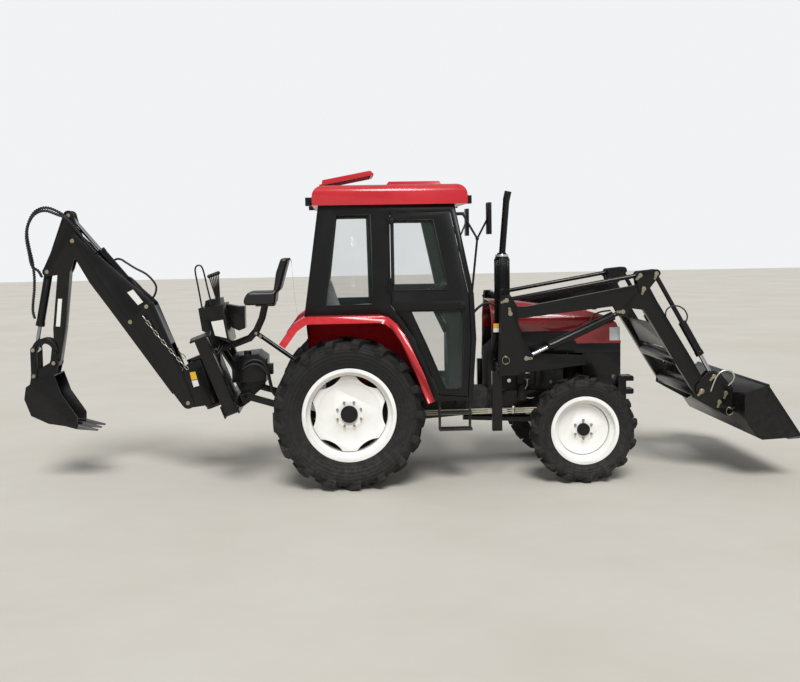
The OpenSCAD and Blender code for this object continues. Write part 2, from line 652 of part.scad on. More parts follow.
module steering_wheel() color("black") {
    translate([wheel_hub[0], 0, wheel_hub[1]]) rotate([0, -wheel_tilt, 0]) {
        rotate_extrude($fn = 40) polygon([for (i = [0:7]) [176 + 14 * cos(45 * i), 14 * sin(45 * i)]]);
        for (a = [90, 210, 330]) rotate([0, 0, a]) rotate([0, 90, 0]) cylinder(d = 20, h = 176);
        translate([0, 0, -8]) cylinder(d = 74, h = 24);
    }
}

// Loader geometry, side-view points from the rear axle
mast_pin = [1335, 1400];
link_offset = [-30, 110];
knee_pin = [2444, 1584];
link_pin = mast_pin + link_offset;
crank_pin = knee_pin + link_offset;
tilt_offset = [105, 122];
tip_pin = [2932, 722];
tilt_base = knee_pin + tilt_offset;
tilt_end = tip_pin + tilt_offset;
lift_base = [2274, 1396];
lift_end = [1465, 1029];
plate_in = arm_w / 2 + side_gap;
plate_out = plate_in + plate_t;

module loader_subframe() color([0.07, 0.07, 0.08]) both() {
    mast = [[1240, 890], [1262, 1500], [1268, 1548], [1340, 1552], [1392, 1460], [1400, 1330], [1440, 1180],
        [1520, 1062], [1520, 985], [1470, 940], [1383, 890]];
    wedge = [[1383, 890], [1984, 955], [1984, 1035], [1500, 1062]];
    difference() {
        union() {
            plate(mast, arm_y - plate_out, arm_y - plate_in);
            plate(mast, arm_y + plate_in, arm_y + plate_out);
            plate(wedge, arm_y - plate_out - 9, arm_y - plate_in - 9);
            // Rear post under the mast, and the beams to the tractor's frame
            translate([1190, arm_y - plate_out - 10, 423]) cube([80, 60, 500]);
            translate([1240, rail_y0 + rail_t + 16, 895]) cube([90, arm_y - plate_out - rail_y0 - rail_t - 15, 90]);
            translate([1900, rail_y0 + rail_t + 16, 960]) cube([70, arm_y - plate_out - rail_y0 - rail_t - 15, 60]);
            translate([1240, arm_y - plate_in, 895]) cube([90, 2 * plate_in, 60]);
        }
        cross(lift_end, loader_pin_d, 0, 2 * arm_y);
    }
    // Bracket plates on the frame rails
    translate([1256, rail_y0 + rail_t + seat, 600]) cube([60, 16, 385]);
    translate([1905, rail_y0 + rail_t + seat, 600]) cube([60, 16, 420]);
    for (p = [mast_pin, link_pin]) cross(p, loader_pin_d, arm_y - plate_out - 8, arm_y + plate_out + 8);
    pin_ends(lift_end, loader_pin_d, arm_y, plate_in, plate_out + 8);
}

arm_outline = concat(arc(mast_pin, 56, 250, 90, 6), [[1480, 1456], [2379, 1612], [2420, 1636], [2480, 1628], [2563, 1474],
    [2870, 969], [2990, 745]], arc(tip_pin, 58, 10, -120, 5), [[2759, 902], [2452, 1407], [2191, 1442]]);

module loader_arms() color([0.07, 0.07, 0.08]) {
    both() {
        difference() {
            plate(arm_outline, arm_y - arm_w / 2, arm_y + arm_w / 2);
            for (p = [mast_pin, tip_pin]) cross(p, loader_pin_d + 2 * fit, 0, 2 * arm_y);
        }
        // Lugs for the lift cylinder
        for (s = [-1, 1]) plate([[2200, 1444], [2236, 1380], [2262, 1352], [2300, 1352], [2325, 1376], [2330, 1424]],
            arm_y + s * 28.5 - 6.5, arm_y + s * 28.5 + 6.5);
        cross(lift_base, loader_pin_d, arm_y - arm_w / 2 - 8, arm_y + arm_w / 2 + 8);
        cross(knee_pin, loader_pin_d, arm_y - plate_out - 8, arm_y + plate_out + 8);
    }
    // Cross tube and light cross plate between the lower legs
    rod_3d([2760, -arm_y + arm_w / 2, 985], [2760, arm_y - arm_w / 2, 985], 110);
    plate([[2575, 1278], [2585, 1285], [2705, 1075], [2695, 1068]], -arm_y + arm_w / 2, arm_y - arm_w / 2);
    // Oil pipes from the knee down to the cross tube
    color("khaki") for (i = [0:4]) rod_3d([2494, -430 + 20 * i, 1396], [2583, -430 + 20 * i, 1297], 12);
    color("khaki") for (i = [0:4]) rod_3d([2582, -430 + 20 * i, 1301], [2715, -430 + 20 * i, 1068], 14);
}

module level_links() color([0.07, 0.07, 0.08]) both() difference() {
    union() {
        bar(link_pin, crank_pin, 36, arm_y);
        for (p = [link_pin, crank_pin]) cross(p, 56, arm_y - 20, arm_y + 20);
    }
    for (p = [link_pin, crank_pin]) cross(p, loader_pin_d + 2 * fit, 0, 2 * arm_y);
}

module bellcranks() color([0.07, 0.07, 0.08]) both() {
    outline = concat(arc(knee_pin, 44, 190, 350, 6), arc(tilt_base, 36, -10, 100, 5), arc(crank_pin, 36, 80, 190, 5));
    for (s = [-1, 1]) difference() {
        plate(outline, arm_y + (s > 0 ? plate_in : -plate_out), arm_y + (s > 0 ? plate_out : -plate_in));
        cross(knee_pin, loader_pin_d + 2 * fit, 0, 2 * arm_y);
    }
    for (p = [crank_pin, tilt_base]) cross(p, loader_pin_d, arm_y - plate_out - 8, arm_y + plate_out + 8);
}

module tilt_barrels() color([0.07, 0.07, 0.08]) both()
    ram_barrel(tilt_base, tilt_end, 66, loader_rod_d, 787, loader_pin_d, 40, arm_y, 470);

module tilt_rods() color("silver") both()
    ram_rod(tilt_base, tilt_end, loader_rod_d, 372, loader_pin_d, 40, arm_y);

module lift_barrels() color([0.07, 0.07, 0.08]) both()
    ram_barrel(lift_base, lift_end, lift_d, loader_rod_d, 674, loader_pin_d, 40, arm_y, 78);

module lift_rods() color("silver") both()
    ram_rod(lift_base, lift_end, loader_rod_d, 700, loader_pin_d, 60, arm_y);

// Hinge tube behind the bucket, with a pin at each end through plates and arm
module tip_pins() color([0.07, 0.07, 0.08]) {
    end = arm_y - plate_out - 5;
    difference() {
        cross(tip_pin, 127, -end, end);
        cross(tip_pin, 99, 15 - end, end - 15);
    }
    both() {
        cross(tip_pin, loader_pin_d, end - 1, arm_y + plate_out + 20);
        cross(tip_pin, loader_pin_d + 16, arm_y + plate_out + 7, arm_y + plate_out + 17);
    }
}

// Loader bucket: shell from the top lip round the back to the cutting edge
bucket_path = [[3390, 800], [3225, 742], [3196, 700], [3196, 560], [3225, 480], [3300, 372], [3345, 350], [3680, 365]];

module loader_bucket() color([0.07, 0.07, 0.08]) {
    half = bucket_w / 2;
    plate(band(bucket_path, 10), -half, half);
    // Cutting edge and the lip tube
    plate([[3560, 350], [3680, 356], [3680, 366], [3560, 362]], -half, half);
    bar_y = half - 12;
    rod_3d([3384, -half, 790], [3384, half, 790], 34);
    both() plate(bucket_path, bar_y, half);
    // Coupling plates behind the bucket
    both() for (s = [-1, 1]) difference() {
        plate([[2884, 660], [2890, 770], [2990, 880], [3040, 896], [3100, 860], [3201, 740], [3201, 540],
            [3150, 510], [2960, 615]], arm_y + (s > 0 ? plate_in : -plate_out), arm_y + (s > 0 ? plate_out : -plate_in));
        cross(tip_pin, loader_pin_d + 2 * fit, 0, 2 * arm_y);
    }
    both() pin_ends(tilt_end, loader_pin_d, arm_y, plate_in, plate_out + 8);
    both() for (p = [[3085, 627], [3140, 700]]) pin_ends(p, 26, arm_y, plate_in, plate_out + 10);
    rod_3d([3150, -arm_y, 590], [3150, arm_y, 590], 60);
}

// Digger. Frame pieces are made in the tilted frame of the swing post:
// x forward and z up along the swing axis, from its middle.
swing_mid = [-1235, 830];
post_h = 400;
ear_t = 28;
leg_x = [150, 280];
leg_pin_z = -235;

module tilted() {
    translate([swing_mid[0], 0, swing_mid[1]]) rotate([0, -hitch_tilt, 0]) children();
}

// Side-view point of the tilted frame in the machine's side view
function from_tilted(p) = swing_mid
    + p[0] * [cos(hitch_tilt), sin(hitch_tilt)] + p[1] * [-sin(hitch_tilt), cos(hitch_tilt)];

boom_pin = [-1369, 663];
boom_top_pin = [-2283, 2057];
post_ram_pin = [-1394, 896];
boom_ram_pin = [-1830, 1366];
dipper_ram_base = [-1690, 1494];
dipper_ram_end = [-2319, 2269];
scoop_pin = [-2489, 1028];
horn_pin = [-2479, 1115];
horn_end = [-2652, 1144];
scoop_link_pin = [-2654, 922];
scoop_ram_base = [-2517, 1801];
hitch_pin = [-833, 742];
boom_y = boom_w / 2;

module digger_frame() color([0.07, 0.07, 0.08]) {
    ear_z = post_h / 2 + side_gap;
    tilted() {
        // Ears over and under the swing post, with the swing pins
        for (s = [-1, 1]) {
            translate([0, 0, s > 0 ? ear_z : -ear_z - ear_t]) linear_extrude(ear_t)
                polygon(concat(arc([0, 0], ear_r, 90, 270, 12), [[leg_x[0] + 1, -ear_r], [leg_x[0] + 1, ear_r]]));
            translate([0, 0, s > 0 ? post_h / 2 - swing_pin_l : -ear_z - ear_t])
                cylinder(d = swing_pin_d, h = swing_pin_l + side_gap + ear_t);
        }
        // Middle box between the ears, and the beam that carries the leg cylinders
        translate([leg_x[0], -140, -ear_z - ear_t]) cube([55, 280, 2 * (ear_z + ear_t)]);
        translate([leg_x[0], -leg_ram_base[0] - 40, leg_ram_base[1] - 35]) cube([30, 2 * leg_ram_base[0] + 80, 70]);
        // Cross beam to the leg pivots, with a clevis at each end
        translate([leg_x[0], -leg_y + 62, leg_pin_z - 50])
            cube([leg_x[1] - leg_x[0], 2 * leg_y - 124, 100]);
        both() for (x = [leg_x[0], leg_x[1] - plate_t])
            translate([x, leg_y - 63, leg_pin_z - 50]) cube([plate_t, 110, 100]);
    }
    leg_plane() both_across() {
        cross(leg_pin, digger_pin_d, -70, 70);
        cross(leg_ram_base, digger_pin_d - 4, -28, 40);
    }
    // Console post up from the box, and the arm that carries the seat
    plate([from_tilted([leg_x[0], ear_z]), from_tilted([leg_x[0] + 55, ear_z]), [-1000, 1112],
        console_low[1] - [0, seat], console_low[0] - [0, seat]], -120, 120);
    plate(band(seat_arm, 58), -28, 28);
    translate([-770, -150, 1478]) cube([160, 300, 12]);
    // Hitch: side plates, lower links and top link to the tractor
    both() {
        difference() {
            plate([from_tilted([leg_x[1] - 1, leg_pin_z + 50]), from_tilted([leg_x[1] - 1, leg_pin_z - 50]),
                [-815, 702], [-795, 742], [-815, 782]], 345, 365);
            cross(hitch_pin, 28, 300, 400);
        }
        cross(hitch_pin, 28, 340, 412);
        strap(hitch_pin, [-40, 500], 56, 366, 382);
        translate([-70, 381, 470]) cube([60, 16, 69.5]);
        // Tank brackets
        plate([from_tilted([leg_x[1] - 1, leg_pin_z + 50]), from_tilted([leg_x[1] - 1, leg_pin_z - 50]),
            [-700, 815], [-700, tank_box[0][1] - seat], [-955, tank_box[0][1] - seat]], 190, 202);
    }
    bar([-752, 1222], [-226, 834], 38);
    plate([[-240, 800], [-190 - seat, 790], [-190 - seat, 850], [-240, 866]], -40, 40);
}

ear_r = 72;
swing_pin_d = 60;
swing_pin_l = 60;
leg_pin = [leg_y, leg_pin_z];
leg_ram_base = [200, leg_pin_z + 460];
leg_ram_end = [leg_y - 72, leg_pin_z + 160];
// Lower rear and lower front corners of the console
console_low = [[-1209, 1291], [-981, 1182]];
seat_arm = [[-1050, 1098], [-975, 1118], [-820, 1175], [-752, 1250], [-700, 1360], [-672, 1474]];
tank_box = [[-975, 845], [-690, 1060]];

// Plane across the tilted frame through the legs: outline x is the distance to the left
module leg_plane() {
    tilted() translate([mid(leg_x[0], leg_x[1]), 0, 0]) rotate([0, 0, 90]) children();
}

module both_across() {
    children();
    mirror([1, 0, 0]) children();
}

module digger_console() color([0.07, 0.07, 0.08]) {
    y = console_w / 2;
    case_top = [[-1039, 1504], [-1235, 1476]];
    difference() {
        plate([console_low[0], console_low[1], case_top[0], case_top[1]], -y, y);
        plate([console_low[0] + [16, 10], console_low[1] + [-16, 18], case_top[0] + [-14, -14],
            case_top[1] + [14, -14]], -y + 12, y - 12);
        // Open foot of the case
        plate([[-1180, 1230], [-1010, 1150], [-1010, 1260], [-1150, 1320]], -y + 12, y - 12);
    }
    // Valve block with its levers, knobs and guard hoop
    plate([[-1200, 1478], [-1060, 1498], [-1068, 1552], [-1190, 1534]], -150, 150);
    for (i = [0:5]) {
        foot = [-1100, -125 + 50 * i, 1545];
        tip = [-1150 + 8 * i, -165 + 66 * i, 1740 + 4 * i];
        rod_3d(foot, tip, 11);
        translate(tip) sphere(d = 34);
    }
    hose(smooth([[-1205, -y + 20, 1478], [-1232, -y + 20, 1660], [-1252, -y + 20, 1800], [-1225, -y + 20, 1836],
        [-1190, -y + 20, 1810], [-1158, -y + 20, 1660], [-1122, -y + 20, 1490]], 3), 14, 8);
    // Side box on the front of the case
    plate([[-1036, 1490], [-935, 1470], [-880, 1470], [-880, 1280], [-935, 1260], [-998, 1290]], 60, 200);
}

module digger_seat() color("black") {
    plate([[-864, 1490 + seat], [-600, 1490 + seat], [-590, 1600], [-830, 1600], [-868, 1540]], -225, 225);
    plate([[-615, 1600 + seat], [-560, 1600 + seat], [-478, 1880], [-545, 1884], [-590, 1760]], -215, 215);
    // Bar from the back down to the wing
    hose(smooth([[-490, -150, 1866], [-462, -160, 1885], [-448, -190, 1720], [-425, -330, 1520],
        [-398, -wing_gap / 2 - 60, 1392]], 4), 16, 8, false, [1, 0, 0]);
}

module oil_tank() color([0.09, 0.09, 0.1]) {
    a = tank_box[0];
    b = tank_box[1];
    plate([a, [b[0], a[1]], [b[0], b[1] - 30], [b[0] - 70, b[1] + 24], [a[0], b[1]]], -250, 250);
    translate([a[0] + 130, -170, b[1]]) cylinder(d = 62, h = 46);
    translate([b[0] - 1, -40, a[1] + 40]) cube([47, 90, 90]);
}

chain_hook = [-1718, 1420];
chain_eye = [-1362, 962];
chain_y = boom_y + 33;
chain_wire = 10;
chain_pitch = 50;

chain_from = [chain_hook[0], chain_y, chain_hook[1]];
chain_to = [chain_eye[0] + 5.6, chain_y - 15, chain_eye[1] - 7.1];
chain_sag = 18;
function on_chain(t) = chain_from + t * (chain_to - chain_from) - [0, 0, 4 * chain_sag * t * (1 - t)];

// Two chains of plain links that hold the boom for the road
module transport_chains() color("silver") both() {
    n = round(norm(chain_to - chain_from) / chain_pitch);
    for (i = [0:n - 1]) {
        a = on_chain(i / n);
        b = on_chain((i + 1) / n);
        v = b - a;
        translate(mid(a, b)) rotate([0, atan2(-v[2], v[0]), 0]) rotate([i % 2 == 0 ? 0 : 90, 0, 0])
            chain_link(norm(v) + 2 * chain_wire - 3);
    }
}

module chain_link(l) {
    w = 30;
    r = w / 2 - chain_wire / 2;
    x = l / 2 - w / 2;
    hose([[x, r, 0], [x + r, 0, 0], [x, -r, 0], [-x, -r, 0], [-x - r, 0, 0], [-x, r, 0]], chain_wire, 3, true, [0, 0, 1]);
}

post_ear_out = boom_y - plate_t - side_gap;
post_ear_t = 18;

module swing_post() color([0.07, 0.07, 0.08]) {
    ear = concat([from_tilted([48, post_h / 2]), from_tilted([-70, post_h / 2])], arc(post_ram_pin, 46, 110, 200, 4),
        arc(boom_pin, 50, 180, 300, 6), [from_tilted([0, -post_h / 2]), from_tilted([48, post_h / 2 - 90])]);
    difference() {
        union() {
            tilted() translate([0, 0, -post_h / 2]) cylinder(d = 132, h = post_h);
            both() plate(ear, post_ear_out - post_ear_t, post_ear_out);
            for (z = [-post_h / 2, post_h / 2 - 20]) tilted() translate([-60, -post_ear_out + 1, z])
                cube([60, 2 * post_ear_out - 2, 20]);
        }
        for (s = [-1, 1]) tilted() translate([0, 0, s > 0 ? post_h / 2 - swing_pin_l - 4 : -post_h / 2 - 1])
            cylinder(d = swing_pin_d + 2 * fit, h = swing_pin_l + 5);
        cross(post_ram_pin, 70, -post_ear_out + post_ear_t, post_ear_out - post_ear_t);
    }
    cross(boom_pin, digger_pin_d, -boom_y - 8, boom_y + 8);
    pin_ends(post_ram_pin, digger_pin_d, 0, post_ear_out - post_ear_t, post_ear_out + 2);
    both() cross(chain_eye, 8, post_ear_out - 2, chain_to[1] + 8);
}

boom_back = [[-2335, 2040], [-2155, 1704], [-1471, 698]];
boom_outline = concat(arc(boom_top_pin, 58, 200, 60, 6), [[-1660, 1553], [-1630, 1523], [-1428, 998]],
    arc(boom_pin, 52, 20, -150, 6), [boom_back[1]]);

module boom() color([0.06, 0.06, 0.07]) {
    both() difference() {
        plate(boom_outline, boom_y - plate_t, boom_y);
        cross(boom_pin, digger_pin_d + 2 * fit, 0, boom_y + 1);
    }
    // Closing plates along the back, the knee and the front
    inner = boom_y - plate_t;
    plate(band([[-2180, 1750], boom_back[1], [-1500, 741]], 10), -inner, inner);
    plate(band([[-1495, 1172], [-1622, 1502]], 10), -inner, inner);
    for (p = [boom_top_pin, boom_ram_pin, dipper_ram_base]) cross(p, digger_pin_d, -boom_y - 6, boom_y + 6);
}

module boom_barrel() color([0.06, 0.06, 0.07])
    ram_barrel(boom_ram_pin, post_ram_pin, ram_d + 6, ram_rod_d, 520, digger_pin_d, 80);

module boom_rod() color("silver")
    ram_rod(boom_ram_pin, post_ram_pin, ram_rod_d, 520, digger_pin_d, 80);

dipper_in = 50;
dipper_out = dipper_in + plate_t;

module dipper() color([0.06, 0.06, 0.07]) {
    outline = concat(arc(dipper_ram_end, 44, 150, 0, 6), arc(boom_top_pin, 58, 20, -60, 4), [[-2313, 1822], [-2330, 1790]],
        arc(scoop_ram_base, 40, -70, -230, 6), [[-2481, 1959]]);
    difference() {
        union() {
            both() plate(outline, dipper_in, dipper_out);
            plate([[-2445, 1960], [-2335, 1960], [-2325, 1830], [-2388, 1320], [-2440, 1040], [-2490, 1075], [-2490, 1320],
                [-2432, 1800]], -dipper_in, dipper_in);
            strap([-2466, 1180], scoop_pin, 78, -dipper_in, dipper_in);
            cross(scoop_pin, 78, -65, 65);
            cross(boom_top_pin, 84, -boom_y + plate_t + side_gap, boom_y - plate_t - side_gap);
        }
        cross(boom_top_pin, digger_pin_d + 2 * fit, -boom_y, boom_y);
    }
    pin_ends(dipper_ram_end, digger_pin_d, 0, dipper_in, dipper_out + 6);
    cross(scoop_ram_base, digger_pin_d, -dipper_out - 6, dipper_out + 6);
    cross(horn_pin, digger_pin_d - 4, -dipper_out - side_gap - plate_t - 2, dipper_out + side_gap + plate_t + 2);
    cross(scoop_pin, digger_pin_d, -scoop_ear_out - 6, scoop_ear_out + 6);
}

module dipper_barrel() color([0.06, 0.06, 0.07])
    ram_barrel(dipper_ram_base, dipper_ram_end, ram_d, ram_rod_d, 620, digger_pin_d, 80);

module dipper_rod() color("silver")
    ram_rod(dipper_ram_base, dipper_ram_end, ram_rod_d, 600, digger_pin_d, 80);

module scoop_barrel() color([0.06, 0.06, 0.07])
    ram_barrel(scoop_ram_base, horn_end, ram_d - 6, ram_rod_d - 4, 470, digger_pin_d, 60);

module scoop_rod() color("silver")
    ram_rod(scoop_ram_base, horn_end, ram_rod_d - 4, 400, digger_pin_d, 60);

horn_in = dipper_in + side_gap;
horn_out = horn_in + plate_t;
scoop_ear_in = horn_out + side_gap;
scoop_ear_out = scoop_ear_in + plate_t;
link_in = scoop_ear_out + side_gap;
link_out = link_in + plate_t;

// The arched horn between the dipper and the digging bucket's cylinder
module horn_link() color([0.06, 0.06, 0.07]) {
    c = mid(horn_pin, horn_end);
    r = norm(horn_end - horn_pin) / 2;
    a = atan2(horn_pin[1] - c[1], horn_pin[0] - c[0]);
    both() difference() {
        union() {
            plate(concat(arc(c, r + 24, a, a + 180, 12), arc(c, r - 24, a + 180, a, 12)), horn_in, horn_out);
            for (p = [horn_pin, horn_end]) cross(p, 56, horn_in, horn_out);
        }
        cross(horn_pin, digger_pin_d - 4 + 2 * fit, 0, horn_out + 1);
    }
    pin_ends(horn_end, digger_pin_d, 0, horn_in, link_out + 5);
}

module scoop_link() color([0.06, 0.06, 0.07]) both() difference() {
    union() {
        strap(horn_end, scoop_link_pin, 54, link_in, link_out);
        cross(scoop_link_pin, digger_pin_d, link_out - 1, link_out + 5);
    }
    cross(horn_end, digger_pin_d + 2 * fit, 0, link_out + 1);
}

scoop_path = [[-2470, 936], [-2640, 884], [-2708, 838], [-2725, 735], [-2674, 593], [-2532, 523], [-2295, 482]];
scoop_mouth = [[-2291, 573], [-2416, 768]];

module scoop() color([0.06, 0.06, 0.07]) {
    half = scoop_w / 2;
    plate(band(scoop_path, 9), -half, half);
    both() plate(concat(scoop_path, scoop_mouth), half - 10, half);
    for (y = [-half + 24, 0, half - 24])
        plate([[-2420, 506], [-2300, 470], [-2130, 452], [-2130, 460], [-2285, 506], [-2400, 522]], y - 22, y + 22);
    both() difference() {
        plate(concat(arc(scoop_pin, 42, 60, -40, 5), [[-2474, 934], [-2640, 883], [-2700, 845]],
            arc(scoop_link_pin, 34, 200, 100, 4)), scoop_ear_in, scoop_ear_out);
        cross(scoop_pin, digger_pin_d + 2 * fit, 0, scoop_ear_out + 1);
    }
    cross(scoop_link_pin, digger_pin_d, -scoop_ear_out - 1, scoop_ear_out + 1);
}

// Stabilizer leg on the left, folded up
module leg() color([0.07, 0.07, 0.08]) leg_plane() {
    w = leg_x[1] - leg_x[0] - 2 * plate_t - 2 * side_gap;
    top = leg_pin_z + 625;
    difference() {
        union() {
            plate([[leg_y - 44, leg_pin_z], [leg_y + 44, leg_pin_z], [leg_y + 44, top], [leg_y - 44, top]], -w / 2, w / 2);
            cross(leg_pin, 88, -w / 2, w / 2);
            for (s = [-1, 1]) plate([[leg_y - 43, leg_pin_z + 90], [leg_y - 43, leg_pin_z + 230],
                [leg_ram_end[0] - 18, leg_ram_end[1] + 22], [leg_ram_end[0] - 18, leg_ram_end[1] - 22]],
                s * 32 - 6, s * 32 + 6);
            // Foot, shod with a pad
            plate([[leg_y - 80, top + 6], [leg_y + 60, top - 16], [leg_y + 62, top - 4], [leg_y - 78, top + 18]], -85, 85);
        }
        cross(leg_pin, digger_pin_d + 2 * fit, -w, w);
        // Room for the eye of the cylinder's rod
        translate([leg_y - 45, -22, leg_pin_z + 80]) cube([51, 44, 153]);
    }
    pin_ends(leg_ram_end, digger_pin_d - 4, 0, 26, 42);
}

module leg_barrel() color([0.07, 0.07, 0.08]) leg_plane()
    ram_barrel(leg_ram_base, leg_ram_end, ram_d - 12, ram_rod_d - 6, 440, digger_pin_d - 4, 40);

module leg_rod() color("silver") leg_plane()
    ram_rod(leg_ram_base, leg_ram_end, ram_rod_d - 6, 440, digger_pin_d - 4, 40);

from_axle() transmission();
from_axle() engine();
from_axle() front_frame();
from_axle() front_axle_beam();
from_axle() loader_subframe();
from_axle() cab_floor();
from_axle() cab_frame();
from_axle() cab_roof();
from_axle() wings();
from_axle() cab_windows();
from_axle() cab_seat();
from_axle() hood();
from_axle() lamps();
from_axle() exhaust();
from_axle() steering_wheel();
from_axle() knuckle();  // knuckle_left
from_axle() mirror([0, 1, 0]) knuckle();  // knuckle_right
from_axle() place_wheel(front_axle, front_track, 1) front_wheel_rim();  // rim_front_left
from_axle() place_wheel(front_axle, front_track, -1) front_wheel_rim();  // rim_front_right
from_axle() place_wheel(rear_axle, rear_track, 1) rear_wheel_rim();  // rim_rear_left
from_axle() place_wheel(rear_axle, rear_track, -1) rear_wheel_rim();  // rim_rear_right
from_axle() place_wheel(front_axle, front_track, 1) front_tyre();  // tyre_front_left
from_axle() place_wheel(front_axle, front_track, -1) front_tyre();  // tyre_front_right
from_axle() place_wheel(rear_axle, rear_track, 1) rear_tyre();  // tyre_rear_left
from_axle() place_wheel(rear_axle, rear_track, -1) rear_tyre();  // tyre_rear_right
from_axle() hinged_door();  // door_left
from_axle() mirror([0, 1, 0]) hinged_door();  // door_right
from_axle() roof_hatch();
from_axle() loader_arms();
from_axle() level_links();
from_axle() bellcranks();
from_axle() tilt_barrels();
from_axle() tilt_rods();
from_axle() tip_pins();
from_axle() loader_bucket();
from_axle() lift_barrels();
from_axle() lift_rods();
from_axle() digger_frame();
from_axle() digger_console();
from_axle() digger_seat();
from_axle() oil_tank();
from_axle() transport_chains();
from_axle() swing_post();
from_axle() boom();
from_axle() boom_barrel();
from_axle() boom_rod();
from_axle() dipper();
from_axle() dipper_barrel();
from_axle() dipper_rod();
from_axle() scoop_barrel();
from_axle() scoop_rod();
from_axle() horn_link();
from_axle() scoop_link();
from_axle() scoop();
from_axle() leg();  // leg_left
from_axle() mirror([0, 1, 0]) leg();  // leg_right
from_axle() leg_barrel();  // leg_barrel_left
from_axle() mirror([0, 1, 0]) leg_barrel();  // leg_barrel_right
from_axle() leg_rod();  // leg_rod_left
from_axle() mirror([0, 1, 0]) leg_rod();  // leg_rod_right
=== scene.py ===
import bpy, bmesh
from math import sin, cos, pi, radians, hypot
from mathutils import Matrix, Vector


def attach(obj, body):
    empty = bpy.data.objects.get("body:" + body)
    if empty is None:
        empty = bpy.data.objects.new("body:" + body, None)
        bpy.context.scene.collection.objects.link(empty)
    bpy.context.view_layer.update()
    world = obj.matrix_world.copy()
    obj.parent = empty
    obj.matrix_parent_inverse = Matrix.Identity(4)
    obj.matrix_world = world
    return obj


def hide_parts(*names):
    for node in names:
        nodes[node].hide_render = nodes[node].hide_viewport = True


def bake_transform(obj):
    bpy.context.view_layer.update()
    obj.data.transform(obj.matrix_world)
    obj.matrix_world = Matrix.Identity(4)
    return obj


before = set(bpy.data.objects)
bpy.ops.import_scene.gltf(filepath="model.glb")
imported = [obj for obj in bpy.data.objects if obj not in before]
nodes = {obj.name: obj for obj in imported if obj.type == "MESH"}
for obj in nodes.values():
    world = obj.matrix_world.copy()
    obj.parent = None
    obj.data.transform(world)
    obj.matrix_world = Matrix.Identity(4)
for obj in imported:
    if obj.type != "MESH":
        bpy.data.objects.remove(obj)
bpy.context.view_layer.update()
scene = bpy.context.scene
scene.view_settings.view_transform = "Standard"

# The CAD side outlines count X from the rear axle, which stands here in the model
AXLE = -0.475
SIDES = ((-1, "right"), (1, "left"))


# Camera, about nine metres off, at head height, a little behind the rear axle. Its turn, tip and
# roll in radians come from the ellipses of the wheels.
CAMERA_AT = (AXLE - 0.048, -9.31, 1.984)
YAW, PITCH, ROLL = 0.0543, -0.0898, -0.0172
LENS_MM, SENSOR_MM = 48.45, 36


def photo_camera(yaw, pitch, roll):
    ahead = Vector((sin(yaw) * cos(pitch), cos(yaw) * cos(pitch), sin(pitch)))
    side = Vector((cos(yaw), -sin(yaw), 0))
    up = side.cross(ahead)
    right = side * cos(roll) + up * sin(roll)
    above = up * cos(roll) - side * sin(roll)
    data = bpy.data.cameras.new("camera")
    data.lens, data.sensor_width = LENS_MM, SENSOR_MM
    data.clip_end = 200
    cam = bpy.data.objects.new("camera", data)
    cam.matrix_world = Matrix((right, above, -ahead)).transposed().to_4x4()
    cam.location = CAMERA_AT
    scene.collection.objects.link(cam)
    scene.camera = cam


photo_camera(YAW, PITCH, ROLL)


def put(name, mesh, body, finish=None):
    """A finished mesh as an object that rides on a body."""
    piece = bpy.data.objects.new(name, mesh)
    scene.collection.objects.link(piece)
    if finish:
        mesh.materials.append(finish)
    if body:
        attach(piece, body)
    return piece


def finished(name, bm, body, finish):
    """A modelled shape, its faces turned outwards, put on its body."""
    bmesh.ops.recalc_face_normals(bm, faces=bm.faces)
    mesh = bpy.data.meshes.new(name)
    bm.to_mesh(mesh)
    bm.free()
    return put(name, mesh, body, finish)


# Finishes

def linear(text, alpha=1.0):
    """sRGB hex to the linear colour that nodes take."""
    parts = [int(text[i:i + 2], 16) / 255 for i in (0, 2, 4)]
    return [c / 12.92 if c <= 0.04045 else ((c + 0.055) / 1.055) ** 2.4 for c in parts] + [alpha]


def add(tree, kind, inputs=None, **settings):
    """Adds a node, with its settings, input values and links."""
    n = tree.nodes.new(kind)
    for key, value in settings.items():
        setattr(n, key, value)
    for key, value in (inputs or {}).items():
        if isinstance(value, bpy.types.NodeSocket):
            tree.links.new(value, n.inputs[key])
        else:
            n.inputs[key].default_value = value
    return n


